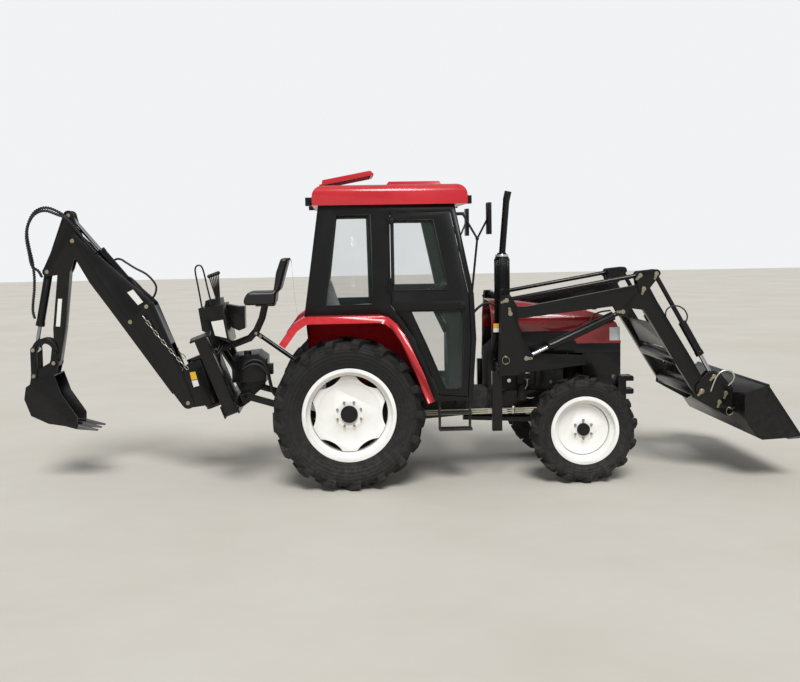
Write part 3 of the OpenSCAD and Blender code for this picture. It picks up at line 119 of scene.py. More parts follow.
def surface(name, base, second, rough, grain_mm, depth_mm, metallic=0.0, coat=0.0, dust=0.0, blotch_m=0.35,
            dust_colour="a89d8c", ring=None, gloss=0.5):
    """Opaque finish: a base colour that drifts to a second one over blotch_m, a grain of
    grain_mm by depth_mm in the bump, and road dust on what faces up or lies low. gloss is the
    strength of the plain reflection, where 0.5 is bare varnish."""
    m = bpy.data.materials.new(name)
    m.use_nodes = True
    t = m.node_tree
    t.nodes.clear()
    place = add(t, "ShaderNodeTexCoord").outputs["Object"]
    drift = add(t, "ShaderNodeTexNoise", {"Vector": place, "Scale": 1 / blotch_m, "Detail": 5.0,
            "Roughness": 0.6})
    spread = add(t, "ShaderNodeMapRange", {"Value": drift.outputs["Fac"], "From Min": 0.35, "From Max": 0.65})
    colour = add(t, "ShaderNodeMix", {0: spread.outputs[0], 6: linear(base), 7: linear(second)},
            data_type="RGBA")
    # Dust: more on upward faces and near the ground, broken up by a finer noise
    speck = add(t, "ShaderNodeTexNoise", {"Vector": place, "Scale": 22.0, "Detail": 8.0, "Roughness": 0.7})
    normal = add(t, "ShaderNodeSeparateXYZ", {0: add(t, "ShaderNodeNewGeometry").outputs["Normal"]})
    height = add(t, "ShaderNodeSeparateXYZ", {0: place})
    top = add(t, "ShaderNodeMapRange", {"Value": normal.outputs["Z"], "From Min": 0.2, "From Max": 1.0})
    low = add(t, "ShaderNodeMapRange", {"Value": height.outputs["Z"], "From Min": 1.0, "From Max": 0.1})
    both = add(t, "ShaderNodeMath", {0: top.outputs[0], 1: low.outputs[0]}, operation="ADD")
    broken = add(t, "ShaderNodeMapRange", {"Value": speck.outputs["Fac"], "From Min": 0.4, "From Max": 0.7})
    fall = add(t, "ShaderNodeMath", {0: both.outputs[0], 1: broken.outputs[0]}, operation="MULTIPLY")
    amount = add(t, "ShaderNodeMath", {0: fall.outputs[0], 1: dust}, operation="MULTIPLY", use_clamp=True)
    dusty = add(t, "ShaderNodeMix", {0: amount.outputs[0], 6: colour.outputs[2], 7: linear(dust_colour)},
            data_type="RGBA")
    matt = add(t, "ShaderNodeMapRange", {"Value": spread.outputs[0], "To Min": rough * 0.85,
            "To Max": rough * 1.15})
    rougher = add(t, "ShaderNodeMath", {0: amount.outputs[0], 1: matt.outputs[0]}, operation="ADD",
            use_clamp=True)
    grain = add(t, "ShaderNodeTexNoise", {"Vector": place, "Scale": 1000 / grain_mm, "Detail": 3.0})
    bump = add(t, "ShaderNodeBump", {"Strength": 0.6, "Distance": depth_mm / 1000,
            "Height": grain.outputs["Fac"]})
    last = bump.outputs["Normal"]
    if ring:
        # Moulded rings on the side wall, round the wheel's axle: ring = (X, Z, spacing) in metres
        cx = add(t, "ShaderNodeMath", {0: height.outputs["X"], 1: ring[0]}, operation="SUBTRACT")
        cz = add(t, "ShaderNodeMath", {0: height.outputs["Z"], 1: ring[1]}, operation="SUBTRACT")
        flat = add(t, "ShaderNodeCombineXYZ", {0: cx.outputs[0], 2: cz.outputs[0]})
        out = add(t, "ShaderNodeVectorMath", {0: flat.outputs[0]}, operation="LENGTH")
        turn = add(t, "ShaderNodeMath", {0: out.outputs["Value"], 1: 2 * pi / ring[2]}, operation="MULTIPLY")
        wave = add(t, "ShaderNodeMath", {0: turn.outputs[0]}, operation="SINE")
        last = add(t, "ShaderNodeBump", {"Strength": 0.5, "Distance": 0.002, "Height": wave.outputs[0],
                "Normal": last}).outputs["Normal"]
    shader = add(t, "ShaderNodeBsdfPrincipled", {"Base Color": dusty.outputs[2],
            "Roughness": rougher.outputs[0], "Metallic": metallic, "Specular IOR Level": gloss,
            "Coat Weight": coat, "Coat Roughness": 0.08, "Normal": last})
    add(t, "ShaderNodeOutputMaterial", {"Surface": shader.outputs[0]})
    return m


def tempered_glass():
    # Float glass with a faint green body: clear face on, a hard reflection at a slant
    m = bpy.data.materials.new("tempered_glass")
    m.use_nodes = True
    t = m.node_tree
    t.nodes.clear()
    film = add(t, "ShaderNodeTexNoise", {"Vector": add(t, "ShaderNodeTexCoord").outputs["Object"],
            "Scale": 3.0, "Detail": 6.0})
    haze = add(t, "ShaderNodeMapRange", {"Value": film.outputs["Fac"], "To Min": 0.01, "To Max": 0.05})
    veil = add(t, "ShaderNodeMapRange", {"Value": film.outputs["Fac"], "To Min": 0.05, "To Max": 0.11})
    shader = add(t, "ShaderNodeBsdfPrincipled", {"Base Color": linear("6f7f79"), "Roughness": haze.outputs[0],
        "Alpha": veil.outputs[0], "IOR": 1.5})
    add(t, "ShaderNodeOutputMaterial", {"Surface": shader.outputs[0]})
    return m


# Sprayed enamel over the hood's sheet steel, maroon: glossy with a slight orange peel
red_enamel = surface("red_enamel", "8f0c15", "a0121b", 0.24, 9, 0.12, coat=0.6, dust=0.1)
# Gel-coated glass fibre of roof and wings, a brighter red bleached by the sun
red_gelcoat = surface("red_gelcoat", "c01523", "ca1e2b", 0.28, 14, 0.15, coat=0.5, dust=0.12)
# Two-pack black on welded plate: semi-gloss, a little weld spatter and dust
black_enamel = surface("black_enamel", "060607", "0a0a0b", 0.3, 11, 0.2, coat=0.2, dust=0.04, gloss=0.28)
# Satin black powder coat of the cab's tubes
powder_black = surface("powder_black", "08090a", "0c0d0f", 0.4, 2.5, 0.1, dust=0.03, gloss=0.3)
# Sand-cast iron under thin grey-black paint: pitted and dull
cast_iron = surface("painted_cast_iron", "17181a", "212325", 0.62, 3.5, 0.7, dust=0.24, gloss=0.35)
# White wheel enamel, clean but for dust towards the ground
wheel_enamel = surface("wheel_enamel", "f4f3f0", "eae9e5", 0.3, 8, 0.1, coat=0.3, dust=0.06)
# Vulcanised tread rubber: dark grey, matt, dusty on the lugs
rear_rubber = surface("rear_tread_rubber", "111112", "1a1a1a", 0.7, 1.6, 0.25, dust=0.12, gloss=0.35,
        dust_colour="8d867a", ring=(AXLE, 0.62, 0.03))
front_rubber = surface("front_tread_rubber", "111112", "1a1a1a", 0.7, 1.6, 0.25, dust=0.12, gloss=0.35,
        dust_colour="8d867a", ring=(AXLE + 1.922, 0.44, 0.024))
# Hard chrome on ground rod, with a film of oil
hard_chrome = surface("hard_chrome", "cfd1d4", "bfc2c6", 0.1, 0.8, 0.01, metallic=1.0)
# Clear zinc plating on chain and pipes, brighter than the yellow passivated pins
bright_zinc = surface("bright_zinc", "e8e6df", "d6d3c9", 0.3, 1.5, 0.03, metallic=0.85, dust=0.06)
# Yellow-passivated zinc plating on pins and nuts
zinc_plate = surface("zinc_plate", "b9b29a", "9f987f", 0.36, 1.5, 0.03, metallic=1.0, dust=0.1)
# Cream enamel on the loader's oil pipes
pipe_paint = surface("pipe_paint", "cdc6b2", "bdb59f", 0.35, 5, 0.1, coat=0.3, dust=0.1)
# Steel rubbed bright by soil at the edges
scoured_steel = surface("scoured_steel", "77787a", "5b5a58", 0.4, 2.0, 0.08, metallic=0.9, dust=0.2)
# Injection-moulded ABS with a leather-like mould texture
moulded_abs = surface("moulded_abs", "101113", "16171a", 0.5, 3.0, 0.04, dust=0.05)
# Black vinyl stretched over foam
seat_vinyl = surface("seat_vinyl", "121214", "1a1a1c", 0.36, 1.4, 0.12, dust=0.05)
# Grey knitted cover under its delivery film
film_cover = surface("film_wrapped_cover", "8b8f94", "a2a6aa", 0.3, 14, 1.2, coat=0.4)
# Moulded lamp lens over a bright reflector
lamp_lens = surface("lamp_lens", "eef0f0", "dde1e3", 0.1, 6, 0.5, coat=0.8)
glass = tempered_glass()


def dress(name, *finishes, where=None, edge=0.002):
    """Gives a CAD node its finishes: where(x, y, z, normal) picks the finish's number for each
    face, x counted from the rear axle. Edges are softened by a small round."""
    o = nodes[name]
    mesh = o.data
    o.modifiers.clear()
    mesh.materials.clear()
    for f in finishes:
        mesh.materials.append(f)
    for p in mesh.polygons:
        p.use_smooth = True
        if where:
            c = p.center
            p.material_index = where(c.x - AXLE, c.y, c.z, p.normal)
        else:
            p.material_index = 0
    weld = o.modifiers.new("weld", "WELD")
    weld.merge_threshold = 0.00002
    if edge:
        flat = o.modifiers.new("flat", "DECIMATE")
        flat.decimate_type = "DISSOLVE"
        flat.angle_limit = radians(0.5)
        flat.delimit = {"MATERIAL"}
        bevel = o.modifiers.new("edge", "BEVEL")
        bevel.width = edge
        bevel.segments = 2
        bevel.limit_method = "ANGLE"
        bevel.angle_limit = radians(38)
        bevel.harden_normals = True
        bevel.use_clamp_overlap = True


# Which of a node's finishes a face takes, by its middle and its normal. All are metres, x from the
# rear axle: lower edge of the red skin at the nose and at the sides, where the nose starts, half
# the width of the black panels, the two faces of a door's pane, the lowest roof lamp, the x range
# of the lamps' housings.
NOSE_SEAM, SIDE_SEAM, NOSE_X, PANEL_HALF = 1.1179, 1.2279, 1.94, 0.3185
PANE_FACES = (0.6, 0.615)
ROOF_LAMPS_Z, HOUSINGS_X = 2, (-0.25, 0.95)


def hood_part(x, y, z, n):
    """Black panels and grille case below the hood's red skin."""
    return 1 if z < (NOSE_SEAM if x > NOSE_X else SIDE_SEAM) and abs(y) < PANEL_HALF else 0


def door_part(x, y, z, n):
    """The panes stand in the middle of the door's thickness."""
    return 1 if abs(n.y) > 0.9 and PANE_FACES[0] < abs(y) < PANE_FACES[1] else 0


def lamp_part(x, y, z, n):
    """Black housings of the lamps at the roof, lit only at their ends."""
    return 1 if z > ROOF_LAMPS_Z and (abs(n.x) < 0.9 or HOUSINGS_X[0] < x < HOUSINGS_X[1]) else 0


def pipe_part(x, y, z, n):
    """Oil pipes along the inner side of the right arm, ahead of a slanted plane or above the arm."""
    return 1 if -0.44 < y < -0.345 and z < 1.405 and (0.868 * x + 0.496 * z > 2.8816 or z > 1.29) else 0


# Wheels: X and Z of the axle, radius of the hub, sideways place of the nuts, radius that they reach
WHEELS = {"rear": (0, 0.62, 0.072, 0.6655, 0.12), "front": (1.922, 0.44, 0.054, 0.6355, 0.091)}


def wheel_part(axle):
    """Black hub and plated nuts on the white disc."""
    cx, cz, hub, face, bolt = WHEELS[axle]

    def part(x, y, z, n):
        r = hypot(x - cx, z - cz)
        return 1 if r < hub else 2 if r < bolt and abs(y) > face else 0

    return part


for name in nodes:
    if name.startswith("tyre_front"):
        dress(name, front_rubber, edge=0.006)
    elif name.startswith("tyre_rear"):
        dress(name, rear_rubber, edge=0.008)
    elif name.startswith("rim"):
        part = wheel_part("rear" if "rear" in name else "front")
        dress(name, wheel_enamel, black_enamel, zinc_plate, edge=0.0015, where=part)
    elif name in ("wings", "cab_roof", "roof_hatch"):
        dress(name, red_gelcoat, edge=0.008)
    elif name == "tip_pins":
        dress(name, black_enamel, zinc_plate, where=lambda x, y, z, n: 1 if abs(y) > 0.4655 else 0)
    elif name == "transport_chains":
        dress(name, bright_zinc, edge=0)
    elif "_rod" in name:
        dress(name, hard_chrome, edge=0.001)
    else:
        dress(name, black_enamel)
# Panels, panes, lamps and pipes, then bucket and scoop with their edges worn bright
dress("hood", red_enamel, black_enamel, where=hood_part, edge=0.004)
for side, tag in SIDES:
    dress("door_" + tag, powder_black, glass, where=door_part)
dress("cab_frame", powder_black, edge=0.003)
dress("cab_windows", glass, edge=0)
dress("lamps", lamp_lens, black_enamel, where=lamp_part)
dress("loader_arms", black_enamel, pipe_paint, where=pipe_part)
dress("loader_bucket", black_enamel, scoured_steel,
        where=lambda x, y, z, n: 1 if z < 0.3665 and x > 3.55 else 0)
dress("scoop", black_enamel, scoured_steel, where=lambda x, y, z, n: 1 if x > -2.29 and z < 0.51 else 0)
dress("transmission", cast_iron, edge=0.004)
dress("engine", cast_iron, edge=0.004)
dress("cab_floor", moulded_abs)
dress("steering_wheel", moulded_abs)
dress("cab_seat", film_cover)
dress("digger_seat", seat_vinyl)


def place(x, z, y=0.0):
    """Side-view point in millimetres from the rear axle, as a place in the model."""
    return Vector((x / 1000 + AXLE, y / 1000, z / 1000))


def rounded(points, steps=6):
    """The points joined by one smooth line."""
    out = []
    for i in range(len(points) - 1):
        a, b, c, d = points[max(i - 1, 0)], points[i], points[i + 1], points[min(i + 2, len(points) - 1)]
        for k in range(steps):
            t = k / steps
            bend, twist = 2 * a - 5 * b + 4 * c - d, 3 * b - a - 3 * c + d
            out.append(0.5 * (2 * b + (c - a) * t + bend * t * t + twist * t ** 3))
    return out + [points[-1]]


def line_tube(name, points, diameter, body, finish, closed=False, sides=10):
    """A round tube or wire swept along points, without twist."""
    n = len(points)
    verts, faces = [], []
    side = None
    for i, p in enumerate(points):
        before = points[i - 1] if i or closed else p
        after = points[(i + 1) % n] if i < n - 1 or closed else p
        ahead = (after - before).normalized()
        if side is None:
            side = ahead.orthogonal()
        side = (side - ahead * side.dot(ahead)).normalized()
        up = ahead.cross(side)
        for k in range(sides):
            a = 2 * pi * k / sides
            verts.append(p + (side * cos(a) + up * sin(a)) * (diameter / 2))
    for i in range(n if closed else n - 1):
        j = (i + 1) % n
        for k in range(sides):
            l = (k + 1) % sides
            faces.append((i * sides + k, i * sides + l, j * sides + l, j * sides + k))
    if not closed:
        faces += [tuple(range(sides))[::-1], tuple((n - 1) * sides + k for k in range(sides))]
    mesh = bpy.data.meshes.new(name)
    mesh.from_pydata(verts, [], faces)
    for p in mesh.polygons:
        p.use_smooth = len(p.vertices) == 4
    return put(name, mesh, body, finish)


# Spiral guard of a hose: distance from turn to turn, thickness of its strip, step along the hose
GUARD_PITCH, GUARD_STRIP, GUARD_STEP = 0.02, 0.008, 0.003


def hydraulic_hose(name, route, diameter, body, guard=False, bend=None):
    """Wire-braided hose between two fittings. guard winds a spiral of plastic round it. If bend is given,
    the hose and its guard ride on no body, their places baked in; the bodies and points in bend are not used."""
    points = rounded([place(x, z, y) for x, z, y in route])
    hose = line_tube(name, points, diameter, None if bend else body, hose_rubber)
    extra = []
    if guard:
        ring, turn = [], 0.0
        for a, b in zip(points, points[1:]):
            n = max(2, round((b - a).length / GUARD_STEP))
            ahead = (b - a).normalized()
            side = ahead.cross(Vector((0, 1, 0))).normalized()
            up = side.cross(ahead)
            for k in range(n):
                turn += (b - a).length / n / GUARD_PITCH * 2 * pi
                ring.append(a.lerp(b, k / n) + (side * cos(turn) + up * sin(turn)) * (diameter / 2 + 0.001))
        extra.append(line_tube(name + "_guard", ring, GUARD_STRIP, None if bend else body, guard_plastic,
                sides=5))
    if bend:
        for piece in [hose] + extra:
            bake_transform(piece)
    return hose


# Nitrile hose cover: matt black with a trace of the braid
hose_rubber = surface("hose_rubber", "121213", "1b1b1b", 0.55, 1.5, 0.15, dust=0.1)
# Polythene spiral guard: waxy, catches the light on each turn
guard_plastic = surface("guard_polythene", "1a1a1c", "232325", 0.28, 3, 0.05)
# Blank label stock: white vinyl film with a rounded shine
label_film = surface("label_film", "e6e5e0", "dcdad3", 0.35, 20, 0.02)
signal_film = surface("signal_film", "e3b42b", "dcae2c", 0.35, 20, 0.02)

spiral = [(-2110, 1950, -86), (-2211, 2075, -86), (-2309, 2232, -88), (-2401, 2304, -82),
        (-2503, 2338, -72), (-2596, 2303, -64), (-2654, 2206, -60), (-2668, 2109, -57), (-2654, 1994, -54),
        (-2634, 1879, -53), (-2626, 1749, -50)]
hydraulic_hose("scoop_hose_rod_side", spiral, 0.02, "dipper", guard=True,
               bend=("boom", "dipper", place(-2180, 2040), place(-2400, 2290)))
# The same hose goes on below the cylinder's upper pin
hydraulic_hose("scoop_hose_rod_side_lower", [spiral[-1], (-2634, 1651, -42), (-2650, 1553, -32),
        (-2659, 1471, -23), (-2648, 1405, -16)], 0.02, "scoop_barrel", guard=True,
        bend=("dipper", "scoop_barrel", place(-2626, 1749), place(-2640, 1600)))
hydraulic_hose("scoop_hose_base_side", [(x + (22 if x > -2300 else 0), z - (26 if x < -2400 else 0),
        y - 26) for x, z, y in spiral[:10]] + [(-2588, 1810, -60), (-2566, 1756, -40)], 0.02, "dipper",
        guard=True, bend=("boom", "dipper", place(-2180, 2040), place(-2400, 2290)))
hydraulic_hose("dipper_hose_rod_side", [(-1952, 1893, -34), (-1926, 1900, -50), (-1892, 1893, -61),
        (-1856, 1870, -68), (-1780, 1820, -74), (-1680, 1762, -78), (-1612, 1676, -78), (-1618, 1602, -72),
        (-1664, 1536, -60)], 0.018, "boom", bend=("boom", "dipper_barrel", place(-1700, 1560),
        place(-1900, 1900)))
hydraulic_hose("dipper_hose_base_side", [(-1842, 1742, -36), (-1818, 1732, -53), (-1785, 1705, -65),
        (-1738, 1654, -70), (-1704, 1596, -65), (-1690, 1530, -54)], 0.018, "boom",
        bend=("boom", "dipper_barrel", place(-1700, 1570), place(-1800, 1730)))
hydraulic_hose("tank_hose", [(-880, 980, -262), (-850, 1010, -268), (-785, 1036, -272), (-715, 1012, -272),
        (-672, 940, -270), (-655, 850, -266), (-628, 762, -260), (-548, 708, -248), (-400, 690, -220),
        (-200, 700, -140)], 0.025, "tractor")
hydraulic_hose("tank_return_hose", [(-880, 960, -290), (-846, 984, -296), (-780, 1004, -300),
        (-714, 976, -300), (-670, 905, -298), (-652, 820, -294), (-620, 738, -286), (-535, 684, -270),
        (-380, 664, -230), (-195, 676, -145)], 0.021, "tractor")
for side, tag in SIDES:
    hydraulic_hose("tilt_hose_" + tag, [(2632, 1350, side * 560), (2632, 1390, side * 562),
            (2655, 1422, side * 564), (2700, 1438, side * 566), (2750, 1428, side * 566),
            (2795, 1392, side * 564), (2813, 1342, side * 560), (2800, 1290, side * 548)], 0.012,
            "loader_arms")
    hydraulic_hose("lift_hose_" + tag, [(2008, 1296, side * 498), (2024, 1340, side * 488),
            (2063, 1376, side * 480), (2118, 1396, side * 476), (2190, 1404, side * 482)], 0.014,
            "loader_arms")
hydraulic_hose("breather_hose", [(1036, 1372, -380), (1060, 1408, -384), (1105, 1452, -388),
        (1150, 1478, -390), (1198, 1480, -392), (1242, 1458, -398)], 0.022, "tractor")


# Bare plates where the machine carries signs
LABEL_THICK = 0.0006


def blank_label(name, corners, y, body, finish):
    bm = bmesh.new()
    face = bm.faces.new([bm.verts.new(place(x, z, y)) for x, z in corners])
    made = bmesh.ops.extrude_face_region(bm, geom=[face])
    bmesh.ops.translate(bm, verts=[v for v in made["geom"] if isinstance(v, bmesh.types.BMVert)],
                        vec=(0, LABEL_THICK if y < 0 else -LABEL_THICK, 0))
    finished(name, bm, body, finish)


blank_label("console_label", [(-1132, 1366), (-1032, 1380), (-1006, 1226), (-1102, 1250)], -280.8,
        "tractor", label_film)
blank_label("post_label_upper", [(-1348, 924), (-1302, 929), (-1286, 864), (-1336, 858)], -97.8,
        "swing_post", signal_film)
blank_label("post_label_lower", [(-1334, 852), (-1285, 858), (-1272, 808), (-1320, 796)], -97.8,
        "swing_post", label_film)
blank_label("boom_label", [(-1846, 1616), (-1796, 1640), (-1716, 1534), (-1760, 1508)], -112.8, "boom",
        label_film)
blank_label("dipper_label", [(-2438, 1572), (-2404, 1570), (-2432, 1336), (-2466, 1338)], -50.8, "dipper",
        label_film)


# Small pressed and turned pieces, each made of bars, round bars and discs that are joined
def small_parts(name, body, finish, bars=(), rounds=(), discs=(), plates=(), soften=0.001):
    """One piece of bars (corner, corner), round bars (from, to, radius, sides), discs that face
    sideways (centre, radius, thickness) and plates (outline, y, y). Points are (x, z, y) in
    millimetres from the rear axle."""
    bm = bmesh.new()
    for outline, y0, y1 in plates:
        face = bm.faces.new([bm.verts.new(place(x, z, y0)) for x, z in outline])
        made = bmesh.ops.extrude_face_region(bm, geom=[face])
        bmesh.ops.translate(bm, verts=[v for v in made["geom"] if isinstance(v, bmesh.types.BMVert)],
                vec=(0, (y1 - y0) / 1000, 0))
    for a, b in bars:
        low, high = place(*a), place(*b)
        size = Matrix.Diagonal([abs(v) for v in high - low] + [1])
        bmesh.ops.create_cube(bm, size=1, matrix=Matrix.Translation((low + high) / 2) @ size)
    for a, b, r, n in rounds:
        a, b = place(*a), place(*b)
        turn = (b - a).to_track_quat("Z", "Y").to_matrix().to_4x4()
        bmesh.ops.create_cone(bm, cap_ends=True, segments=n, radius1=r / 1000, radius2=r / 1000,
                depth=(b - a).length, matrix=Matrix.Translation((a + b) / 2) @ turn)
    for at, r, thick in discs:
        bmesh.ops.create_cone(bm, cap_ends=True, segments=28, radius1=r / 1000, radius2=r / 1000,
                depth=thick / 1000, matrix=Matrix.Translation(place(*at)) @ Matrix.Rotation(pi / 2, 4, "X"))
    if soften:
        sharp = [e for e in bm.edges if len(e.link_faces) == 2 and e.calc_face_angle(0) > 1]
        bmesh.ops.bevel(bm, geom=sharp, offset=soften, segments=1, profile=0.5, affect="EDGES", material=-1)
    for f in bm.faces:
        f.smooth = len(f.verts) == 4 and f.calc_area() < 0.002
    return finished(name, bm, body, finish)


# Guard of thin bars round the muffler, its bright collar and the plate under it
MUFFLER = (1295, -400)
GUARD_BARS, GUARD_RADIUS = 22, 61
slats = []
for k in range(GUARD_BARS):
    a = 2 * pi * k / GUARD_BARS
    x, y = MUFFLER[0] + GUARD_RADIUS * cos(a), MUFFLER[1] + GUARD_RADIUS * sin(a)
    slats.append(((x, 1330, y), (x, 1848, y), 4.5, 8))
small_parts("muffler_guard", "tractor", black_enamel, rounds=slats + [
    ((MUFFLER[0], z, MUFFLER[1]), (MUFFLER[0], z + 12, MUFFLER[1]), 65, 40) for z in (1336, 1586, 1836)])
small_parts("muffler_collar", "tractor", bright_zinc,
        rounds=[((1295, 1863, -400), (1295, 1884, -400), 53, 40)])
small_parts("muffler_plate", "tractor", black_enamel,
        bars=[((1208, 1236, -438), (1294, 1314, -434.5))])
blank_label("muffler_label_upper", [(1214, 1312), (1288, 1312), (1288, 1276), (1214, 1276)], -438.6,
        "tractor", signal_film)
blank_label("muffler_label_lower", [(1214, 1274), (1288, 1274), (1288, 1240), (1214, 1240)], -438.6,
        "tractor", label_film)


# Rubber seals round the panes, on both sides of the cab
PANE_Y = 629
pane_rubber = surface("pane_rubber", "0b0b0c", "121212", 0.5, 2, 0.1)
PANES = (("rear", [(-76, 2222), (204, 2222), (214, 1500), (-165, 1500)]),
        ("upper", [(383, 2178), (706, 2178), (826, 1612), (383, 1612)]),
        ("lower", [(520, 1440), (944, 1440), (946, 1208), (922, 800), (790, 800), (640, 1160)]))
for side, tag in SIDES:
    for pane, corners in PANES:
        line_tube(pane + "_seal_" + tag, [place(x, z, side * PANE_Y) for x, z in corners], 0.014,
                "tractor" if pane == "rear" else "door_" + tag, pane_rubber, closed=True,
                sides=8)


# Engine's right side: fuel bowl, injection pipes, plugs and the round cover of the clutch housing
small_parts("fuel_bowl", "tractor", bright_zinc,
        rounds=[((1520, 872, -286), (1520, 886, -286), 27, 24),
        ((1520, 820, -286), (1520, 824, -286), 24, 24), ((1520, 812, -286), (1520, 820, -286), 9, 6)])
small_parts("fuel_bowl_glass", "tractor", glass,
        rounds=[((1520, 824, -286), (1520, 872, -286), 22, 24)])
line_tube("fuel_pipe", rounded([place(*q) for q in ((1520, 812, -286), (1520, 770, -288),
        (1500, 735, -286), (1496, 690, -276), (1520, 660, -262), (1560, 650, -240), (1590, 650, -200))]),
        0.01, "tractor", pipe_paint)
for i in range(4):
    line_tube("injection_pipe_%d" % (i + 1), rounded([place(*q) for q in ((1575 + 28 * i, 960, -250),
            (1570 + 26 * i, 1010, -262), (1500 + 60 * i, 1056, -248), (1380 + 130 * i, 1098, -214),
            (1380 + 130 * i, 1118, -188))]), 0.007, "tractor", bright_zinc, sides=8)
small_parts("clutch_cover", "tractor", zinc_plate,
        discs=[((1323, 682, -167), 44, 8), ((1323, 682, -172), 30, 6)])
small_parts("engine_plugs", "tractor", bright_zinc,
        discs=[((1290, 800, -191), 17, 4), ((1380, 800, -191), 17, 4), ((1260, 980, -192), 13, 8),
        ((1760, 1000, -192), 13, 8), ((1740, 780, -192), 13, 8)])

# Steel pipes along the frame to the gearbox, in two clamps
for i in range(3):
    z, y = 560 - 17 * i, -208 - 3 * i
    line_tube("frame_pipe_%d" % (i + 1), rounded([place(*q) for q in ((640, z, -149), (640, z, y + 20),
            (665, z, y), (760, z, y), (1100, z, y), (1480, z, y), (1720, z, y), (1750, z + 14, y + 2),
            (1765, z + 40, y + 4), (1766, 600, y + 6), (1766, 640, -196))], 5), 0.013, "tractor",
            pipe_paint)
small_parts("frame_pipe_clamps", "tractor", bright_zinc,
            bars=[((x, 518, -222), (x + 26, 582, -196)) for x in (1400, 1620)])


# Clevis of the top link on the seat arm, with its two bolts
small_parts("top_link_clevis", "tractor", black_enamel,
        plates=[([(-806, 1238), (-786, 1262), (-722, 1220), (-740, 1192)], y, y + 8)
        for y in (28.5, -36.5)])
small_parts("top_link_bolts", "tractor", zinc_plate,
            rounds=[((x, z, -46), (x, z, 46), 9, 6) for x, z in ((-781, 1240), (-744, 1216))]
            + [((x, z, -42), (x, z, 42), 14, 24) for x, z in ((-781, 1240), (-744, 1216))])

# Release handles of the bucket's coupler
for side, tag in SIDES:
    line_tube("coupler_handle_" + tag, rounded([place(x, z, side * y) for x, z, y in ((3013, 717, 566),
            (3016, 735, 576), (3041, 806, 580), (3070, 858, 580), (3108, 886, 580), (3160, 890, 580),
            (3190, 874, 580), (3206, 840, 580), (3196, 800, 578), (3168, 770, 572), (3160, 762, 560))], 5),
            0.013, "loader_bucket", bright_zinc)

# Short hoses from the console post to the two leg cylinders
LEG_HOSES = (
        [(-1070, 1190, 121), (-1071, 1193, 140), (-1071, 1184, 176), (-1075, 1160, 212), (-1084, 1134, 238),
        (-1095, 1108, 248)],
        [(-1044, 1176, 121), (-1046, 1182, 142), (-1044, 1170, 186), (-1054, 1142, 236), (-1072, 1114, 272),
        (-1088, 1090, 282)])
for side, tag in SIDES:
    for k, route in enumerate(LEG_HOSES):
        hydraulic_hose("leg_hose_%s_%d" % (tag, k + 1), [(x, z, side * y) for x, z, y in route], 0.014,
                "tractor")


# Bright keeper plates on the pin ends: a disc with a tail bolted down beside it. Thickness of disc
# and tail, radius and length of the bolt, in metres.
CAP_THICK, TAIL_THICK, BOLT_RADIUS, BOLT_LONG = 0.007, 0.006, 0.008, 0.014


def pin_caps(name, body, spots, r, tail, both=True):
    bm = bmesh.new()
    for x, z, y, angle in spots:
        for side in ((-1, 1) if both else (-1,)):
            turn = Matrix.Rotation(-radians(angle), 4, "Y") @ Matrix.Rotation(pi / 2, 4, "X")
            at = Matrix.Translation(place(x, z, side * y)) @ turn
            bmesh.ops.create_cone(bm, cap_ends=True, segments=24, radius1=r, radius2=r * 0.9,
                    depth=CAP_THICK, matrix=at)
            if tail:
                flat = Matrix.Diagonal((tail, r * 1.1, TAIL_THICK, 1))
                leg = at @ Matrix.Translation((tail / 2, 0, 0)) @ flat
                bmesh.ops.create_cube(bm, size=1, matrix=leg)
                end = at @ Matrix.Translation((tail, 0, 0))
                bmesh.ops.create_cone(bm, cap_ends=True, segments=20, radius1=r * 0.56, radius2=r * 0.56,
                        depth=TAIL_THICK, matrix=end)
                bmesh.ops.create_cone(bm, cap_ends=True, segments=6, radius1=BOLT_RADIUS,
                        radius2=BOLT_RADIUS, depth=BOLT_LONG, matrix=end)
    bevelled = [e for e in bm.edges if len(e.link_faces) == 2 and e.calc_face_angle(0) > 1]
    bmesh.ops.bevel(bm, geom=bevelled, offset=0.0008, segments=1, profile=0.5, affect="EDGES", material=-1)
    finished(name, bm, body, zinc_plate)


pin_caps("mast_pin_caps", "tractor", [(1335, 1400, 575, 100), (1305, 1510, 575, 200),
        (1465, 1029, 575, 0)], 0.02, 0.042)
pin_caps("knee_pin_caps", "loader_arms", [(2444, 1584, 575, 250)], 0.02, 0.042)
pin_caps("lift_pin_caps", "loader_arms", [(2274, 1396, 560, 180)], 0.02, 0.046)
pin_caps("bellcrank_pin_caps", "bellcranks", [(2414, 1694, 575, 225), (2549, 1706, 575, 250)], 0.02, 0.042)
pin_caps("tip_pin_caps", "tip_pins", [(2932, 722, 586, 225)], 0.02, 0.042)
pin_caps("bucket_pin_caps", "loader_bucket", [(3037, 844, 575, 225), (3085, 627, 577, 250),
        (3140, 700, 577, 250)], 0.019, 0.04)
pin_caps("post_pin_bolts", "swing_post", [(-1369, 663, 119, 0)], 0.019, 0)
pin_caps("boom_pin_bolts", "boom", [(-2283, 2057, 117, 0), (-1830, 1366, 117, 0), (-1690, 1494, 117, 0)],
        0.019, 0)
pin_caps("dipper_pin_bolts", "dipper", [(-2319, 2269, 67, 0), (-2517, 1801, 67, 250),
        (-2489, 1028, 98, 0)], 0.018, 0)
pin_caps("horn_pin_bolts", "horn_link", [(-2652, 1144, 113, 0)], 0.018, 0)
pin_caps("scoop_pin_bolts", "scoop", [(-2654, 922, 113, 0)], 0.018, 0)


# Lynch pins: a round pin through the plate with a sprung D-shaped ring hanging from it
RING_WIRE, LYNCH_STEM = 0.006, 0.016


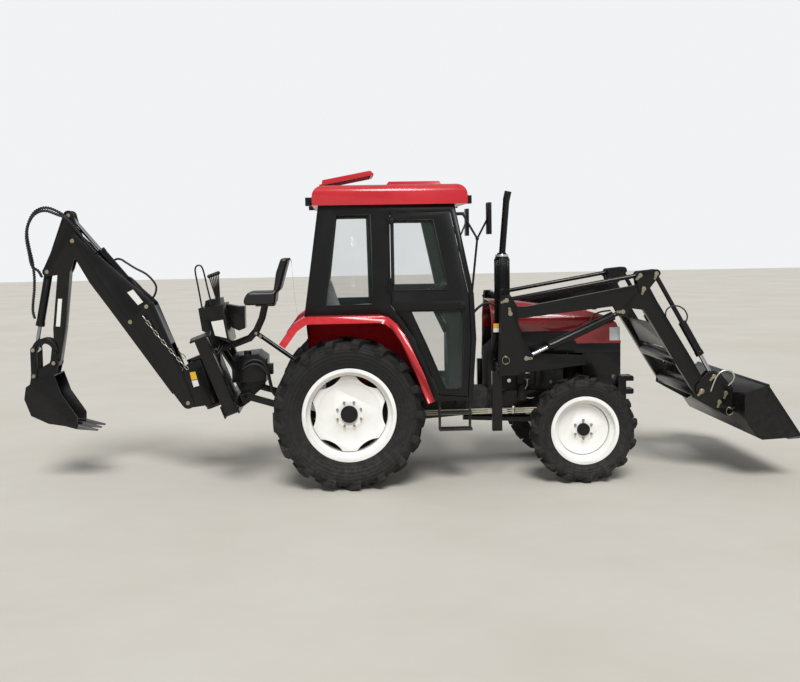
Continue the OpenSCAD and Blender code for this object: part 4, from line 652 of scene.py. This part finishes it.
def lynch_pin(name, x, z, y, body):
    s = -1 if y < 0 else 1
    loop = rounded([place(x + a, z + b, y + s * 10) for a, b in ((0, 8), (-20, 0), (-31, -24), (-24, -50),
            (2, -60), (26, -40), (24, -14), (0, 8))], 4)[:-1]
    line_tube(name + "_ring", loop, RING_WIRE, body, zinc_plate, closed=True, sides=8)
    line_tube(name + "_stem", [place(x, z, y - s * 8), place(x, z, y + s * 16)], LYNCH_STEM, body,
            zinc_plate, sides=14)


for side, tag in SIDES:
    lynch_pin("mast_lynch_pin_" + tag, 1296, 1046, side * 571, "tractor")
    lynch_pin("coupler_lynch_pin_" + tag, 3174, 575, side * 571, "loader_bucket")


# Seats: a skin over each moulded block, its edges relaxed into a cushion's round
def foam(node_name, finish, voxel, passes):
    source = nodes[node_name]
    bm = bmesh.new()
    bm.from_mesh(source.data)
    bmesh.ops.remove_doubles(bm, verts=bm.verts, dist=0.0002)
    mesh = bpy.data.meshes.new(node_name + "_foam")
    bm.to_mesh(mesh)
    bm.free()
    mesh.materials.clear()
    piece = put(node_name + "_foam", mesh, "tractor", finish)
    remesh = piece.modifiers.new("skin", "REMESH")
    remesh.mode, remesh.voxel_size, remesh.use_smooth_shade = "VOXEL", voxel, True
    soften = piece.modifiers.new("soften", "SMOOTH")
    soften.factor, soften.iterations = 0.8, passes
    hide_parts(node_name)
    return piece


foam("cab_seat", film_cover, 0.012, 9)
foam("digger_seat", seat_vinyl, 0.008, 26)


# Studio: pale floor, even sky light and one broad soft lamp. The sky lights the object at
# SKY_ON_OBJECT, and shows at SKY_SEEN behind it and through its glass.
SKY_ON_OBJECT, SKY_SEEN, SUN = 0.44, 0.97, 2.6


def studio():
    world = bpy.data.worlds.new("sky")
    scene.world = world
    world.use_nodes = True
    t = world.node_tree
    t.nodes.clear()
    rays = add(t, "ShaderNodeLightPath")
    through = add(t, "ShaderNodeMath", {0: rays.outputs["Is Camera Ray"],
            1: rays.outputs["Is Transmission Ray"]}, operation="MAXIMUM")
    strength = add(t, "ShaderNodeMapRange", {"Value": through.outputs[0], "To Min": SKY_ON_OBJECT,
            "To Max": SKY_SEEN})
    sky = add(t, "ShaderNodeBackground", {"Color": linear("f4f6f8"), "Strength": strength.outputs[0]})
    add(t, "ShaderNodeOutputWorld", {"Surface": sky.outputs[0]})
    bm = bmesh.new()
    bmesh.ops.create_grid(bm, x_segments=2, y_segments=2, size=60)
    mesh = bpy.data.meshes.new("floor")
    bm.to_mesh(mesh)
    bm.free()
    floor = put("floor", mesh, None, surface("pale_concrete", "d8d4cb", "cfcabf", 0.85, 6, 0.4, blotch_m=2.2))
    data = bpy.data.lights.new("key", "SUN")
    data.energy, data.angle = SUN, radians(24)
    key = bpy.data.objects.new("key", data)
    key.rotation_euler = (radians(42), radians(14), radians(-18))
    scene.collection.objects.link(key)


studio()
